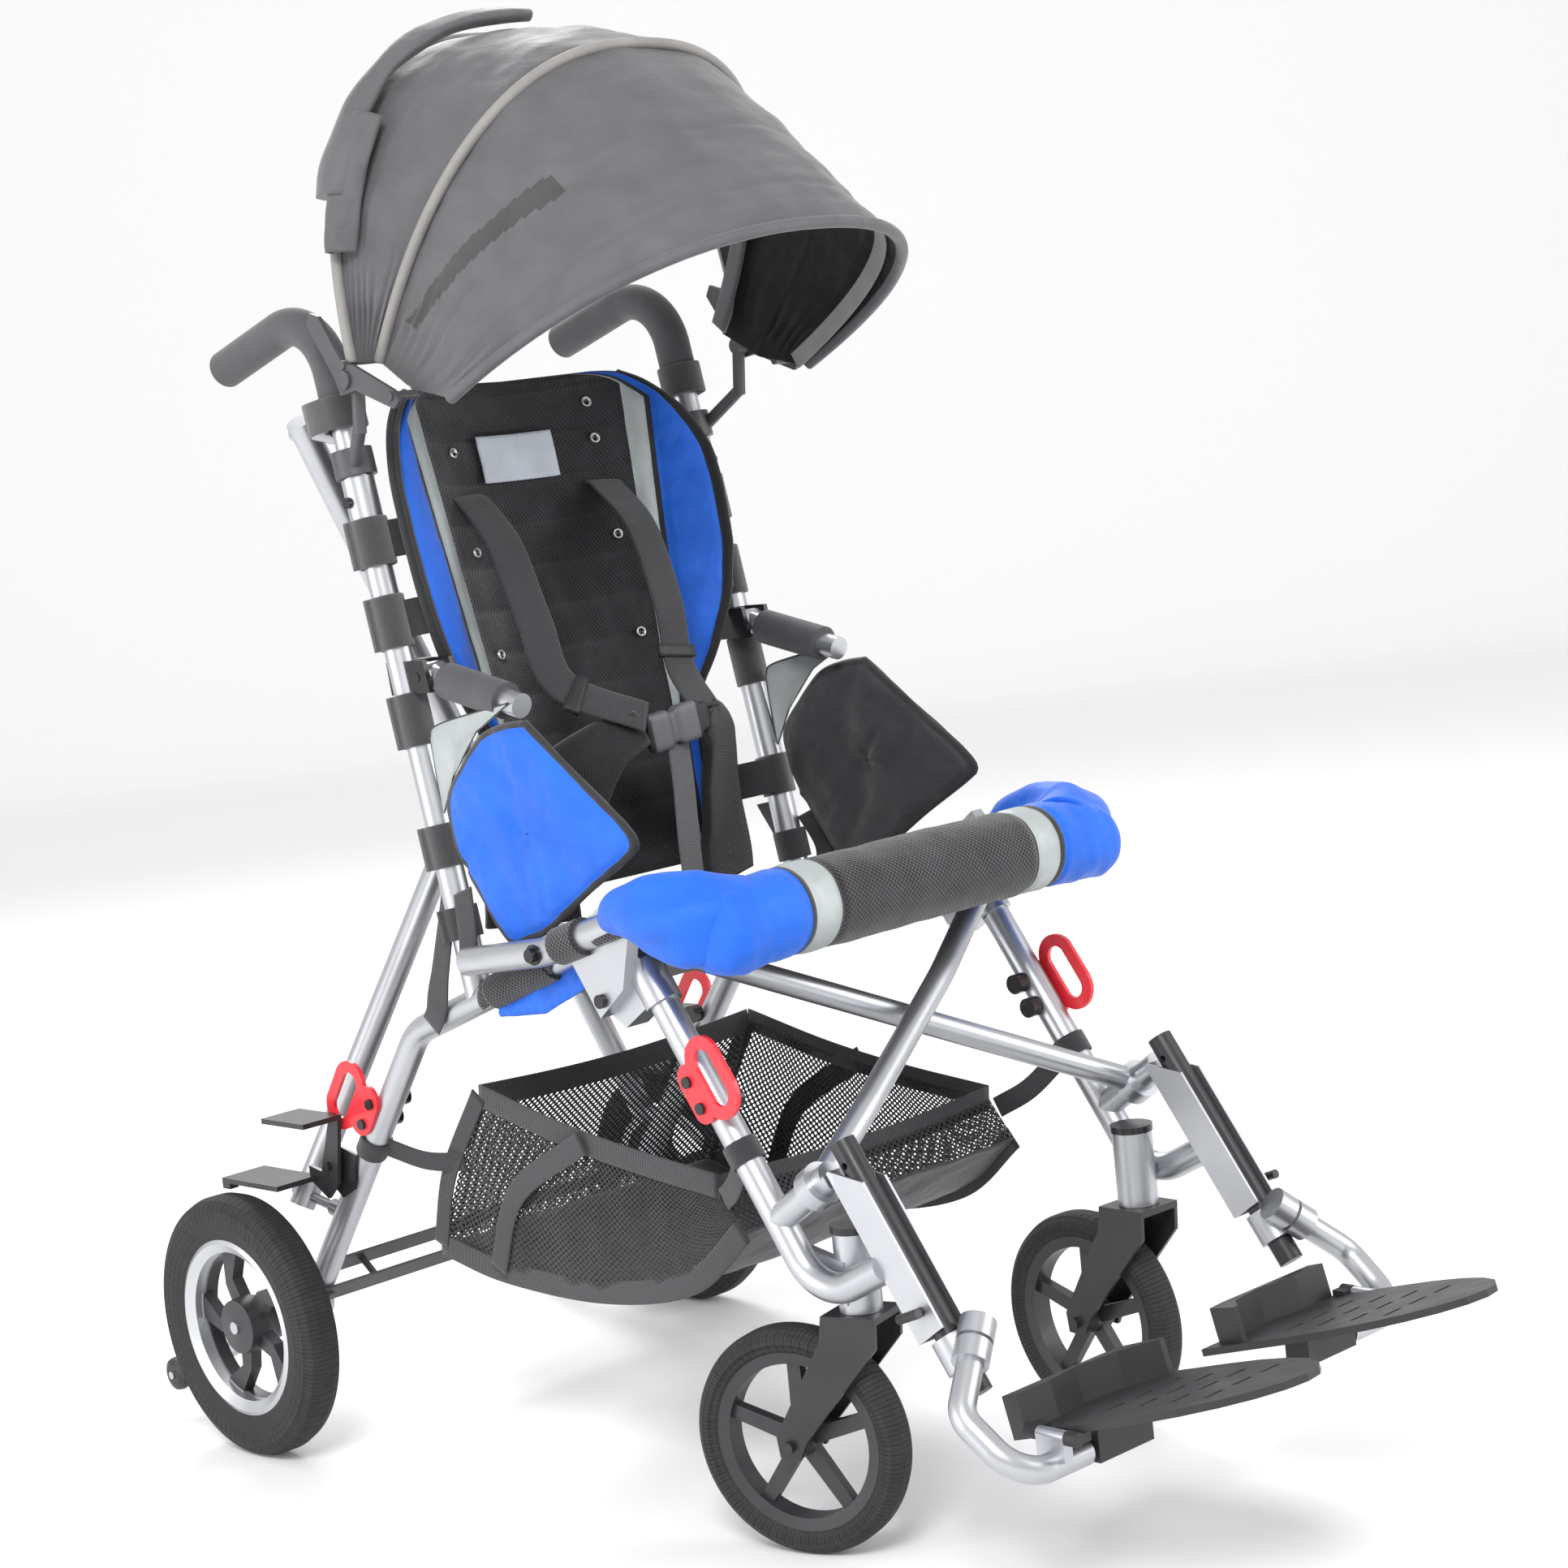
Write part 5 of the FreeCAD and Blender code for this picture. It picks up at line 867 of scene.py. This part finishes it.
def canopy():
    """Hood cloth, slack between its bows: sag = 5 mm x sin(pi t), plus creases that fan from the pivots."""
    u = np.linspace(0.0, 1.0, 150)
    v = np.linspace(0.0, 4.0, 150)
    U, V = np.meshgrid(u, v, indexing="ij")
    p = canopy_point(U, V, 0.0012)
    du, dv = np.gradient(p, axis=0), np.gradient(p, axis=1)
    normal = unit(np.cross(du, dv))
    outward = np.sign((normal * (p - np.array([0, 0.10, 1.06]))).sum(-1, keepdims=True))
    normal = normal * outward
    away = np.minimum(U, 1 - U)
    free = np.clip(away / 0.12, 0, 1) * np.clip(V / 0.25, 0, 1) * np.clip((4 - V) / 0.2, 0, 1)
    between = np.where(V < 2, np.sin(math.pi * V / 2), np.sin(math.pi * (V - 2) / 2))
    crease = np.sin(26 * V + 5 * ripple(np.stack([U * 3, V, 0 * U], -1), 2.0,
                                        62)) * np.exp(-((away - 0.10) / 0.10) ** 2)
    drop = -0.005 * between * free + 0.0016 * crease * free + 0.0022 * ripple(p, 0.11, 61) * free
    drop -= 0.0016 * bump_at(V, 3.55, 0.03) + 0.0014 * bump_at(V, 2.9, 0.03) * (V > 2)
    slant = V - 2.35 - 2.2 * (away - 0.14)
    tape = bump_at(slant, 0.0, 0.055) ** 0.5 * (np.abs(slant) < 0.11) * (away > 0.14) * (away < 0.36)
    drop += 0.0012 * tape + 0.0010 * bump_at(V, 3.78, 0.05)
    grid = p + normal * drop[..., None]
    faces_out = outward.mean() < 0
    marked = (tape > 0.2) if faces_out else (tape > 0.2)[::-1]
    cloth = surface("canopy_cloth", grid if faces_out else grid[::-1], [CANOPY, LINING, TAPE, LINING],
                    zone=lambda i, j: 2 if marked[i, j] else 0)
    thicken(cloth, 0.0012, inner=1)
    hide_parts("canopy_cover")
    pieces = [cloth]
    ends = np.linspace(0.004, 0.996, 160)
    for label, at, r, mat in (("rear", 0.0, 0.0048, PIPING), ("middle", 2.0, 0.0050, PIPING),
                              ("hem", 4.0, 0.0055, CANOPY)):
        path = canopy_point(ends, np.full(160, at), -0.0015)
        pieces.append(tube("canopy_piping_" + label, path, r, mat, wide=(0, 1, 0.3), sides=12))
    bow = along_hood(np.linspace(0.03, 0.97, 120), 2.0, -0.0110, 0.020, "canopy_bow_middle", GREY_WEB, 0.005)
    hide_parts("canopy_bows")
    pieces.append(bow)
    pieces.append(along_hood(np.linspace(0.02, 0.42, 90), 3.80, -0.0065, 0.016, "visor_bow_tape", PIPING,
                             0.003))
    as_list(pieces[1:4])
    pieces += window_flap()
    for piece in pieces:
        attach(piece, "canopy")
        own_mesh(piece)


def round_post(centre, reach, angle, sign, out):
    """Path of a tape round a post: centre + reach x (cos of the angle outward - sin of the angle forward)."""
    around = np.cos(angle)[:, None] * np.array([sign, 0, 0]) - np.sin(angle)[:, None] * out
    return centre + reach[:, None] * around


def post_bands():
    """Hook-and-loop tapes round the posts: a wrapped band with an overlapping tail that lifts at its end."""
    levels = ((0.882, 0.838), (0.812, 0.764), (0.724, 0.676), (0.606, 0.567), (0.532, 0.503))
    for side_name, sign in SIDES:
        for k, (high, low) in enumerate(levels):
            at = ((high + low) / 2 - POST[1]) / math.cos(math.radians(POST[2]))
            centre = lean_point(POST, at, 0, sign * SIDE)
            s, c = math.sin(math.radians(POST[2])), math.cos(math.radians(POST[2]))
            out = np.array([0, -c, s])
            a = np.linspace(-0.5, 2 * math.pi + 0.35, 60)
            reach = 0.0142 + 0.0016 * a / 6.3 + 0.006 * np.clip((a - 6.3) / 0.35, 0, 1) ** 2
            if k == 0:
                reach = reach + 0.0016
            ring = round_post(centre, reach, a, sign, out)
            band = surface("post_band_%s_%d" % (side_name, k),
                           capped(sweep(ring, strap_section(high - low, 0.0022),
                                        (0, s, c))), VELCRO if k < 4 else WEB, closed=True)
            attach(band, side_name + "_frame")
            if k in (0, 1, 3):
                inner = {0: 0.176, 1: 0.182, 3: 0.118}[k]
                start = centre + np.array([-sign * 0.006, 0.0, 0]) + out * 0.0125
                shell = 0.295 - math.sqrt(0.325**2 - inner**2)
                end = lean_point(POST, at, shell - 0.004, sign * inner)
                tab = strap("pad_tab_%s_%d" % (side_name, k),
                            spline([start, (start + end) / 2 + out * 0.002, end], 14),
                            (0, s, c), 0.034, WEB)
                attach(tab, side_name + "_frame")
        grip_at = 0.500
        centre = lean_point(POST, grip_at, 0, sign * SIDE)
        a = np.linspace(0, 2 * math.pi + 0.7, 60)
        reach = 0.0186 + 0.0004 * a + 0.012 * np.clip((a - 6.0) / 1.0, 0, 1) ** 2
        s, c = math.sin(math.radians(POST[2])), math.cos(math.radians(POST[2]))
        out = np.array([0, -c, s])
        ring = round_post(centre, reach, a, sign, out)
        band = surface("grip_band_" + side_name,
                       capped(sweep(ring, strap_section(0.030, 0.0022), (0, s, c))), VELCRO, closed=True)
        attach(band, side_name + "_frame")


def rail_straps():
    """Webbing at the post's foot: a strap folded over the lower rail behind the seat, and a short tail strap
    beside it.
    """
    for side_name, sign in SIDES:
        path = spline([(sign * 0.196, 0.176, 0.560), (sign * 0.214, 0.170, 0.515),
                       (sign * 0.2225, 0.176, 0.470),
                       (sign * 0.2205, 0.190, 0.438), (sign * 0.2205, 0.200, 0.424)], 40)
        web = strap("anchor_strap_" + side_name, path, (0, 1.0, -0.35), 0.026, WEB)
        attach(web, side_name + "_frame")
        path = spline([(sign * 0.213, 0.140, 0.548), (sign * 0.222, 0.128, 0.515),
                       (sign * 0.222, 0.130, 0.488)], 24)
        tail = strap("strap_tail_" + side_name, path, (0, 1.0, -0.1), 0.026, WEB)
        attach(tail, side_name + "_frame")


back_pad()
seat_roll()
seat_sling()
side_pads()
harness()
basket()
canopy()
post_bands()
rail_straps()


# ---------------------------------------------------------------- stage, lights and camera
def stage():
    floor_mat = Mat("floor", (0.93, 0.93, 0.935), 0.6)
    floor_mat.wear(0.8, 0.05, (0.90, 0.90, 0.91), 0.03)
    s = np.linspace(-9, 9, 40)
    t = np.linspace(0, 1, 60)
    depth = np.interp(t, [0, 0.75, 1], [-6, 6.5, 8.0])
    height = np.where(t > 0.75, 9.0 * (np.clip((t - 0.75) / 0.25, 0, 1)) ** 2.2, 0.0)
    a, k = np.meshgrid(s, np.arange(60), indexing="ij")
    turn = math.radians(43.1)
    x = a * math.cos(turn) + depth[k] * math.sin(turn)
    y = -a * math.sin(turn) + depth[k] * math.cos(turn)
    floor = surface("floor", np.stack([x, y, height[k]], -1), floor_mat.mat)


def light(name, place, aim, size, power, color=(1, 1, 1)):
    data = bpy.data.lights.new(name, "AREA")
    data.shape, data.size, data.energy, data.color = "DISK", size, power, color
    lamp = bpy.data.objects.new(name, data)
    bpy.context.collection.objects.link(lamp)
    lamp.location = place
    lamp.rotation_euler = (Vector(aim) - Vector(place)).to_track_quat("-Z", "Y").to_euler()


stage()
light("key", (-2.6, -2.2, 3.4), (0, 0, 0.6), 1.6, 120)
light("fill", (2.2, -3.2, 1.8), (0, 0, 0.6), 2.6, 55)
light("rim", (1.6, 2.8, 3.0), (0, 0, 0.9), 1.6, 70)
light("low", (-3.0, 1.2, 1.0), (0, 0, 0.5), 2.0, 35)
world = bpy.data.worlds.new("studio")
world.use_nodes = True
world.node_tree.nodes["Background"].inputs[0].default_value = (1.0, 1.0, 1.0, 1.0)
world.node_tree.nodes["Background"].inputs[1].default_value = 0.85
scene = bpy.context.scene
scene.world = world
scene.view_settings.view_transform = "Standard"

right = Vector((0.717505, -0.688131, -0.107989))
up = Vector((0.157462, 0.009218, 0.987482))
ahead = Vector((0.678522, 0.725528, -0.114968))
camera = bpy.data.objects.new("camera", bpy.data.cameras.new("camera"))
bpy.context.collection.objects.link(camera)
turned = Matrix((right, up, -ahead)).transposed().to_4x4()
camera.matrix_world = Matrix.Translation((-1.91289, -2.10713, 0.93603)) @ turned
camera.data.sensor_width = 36.0
camera.data.lens = 73.32
scene.camera = camera
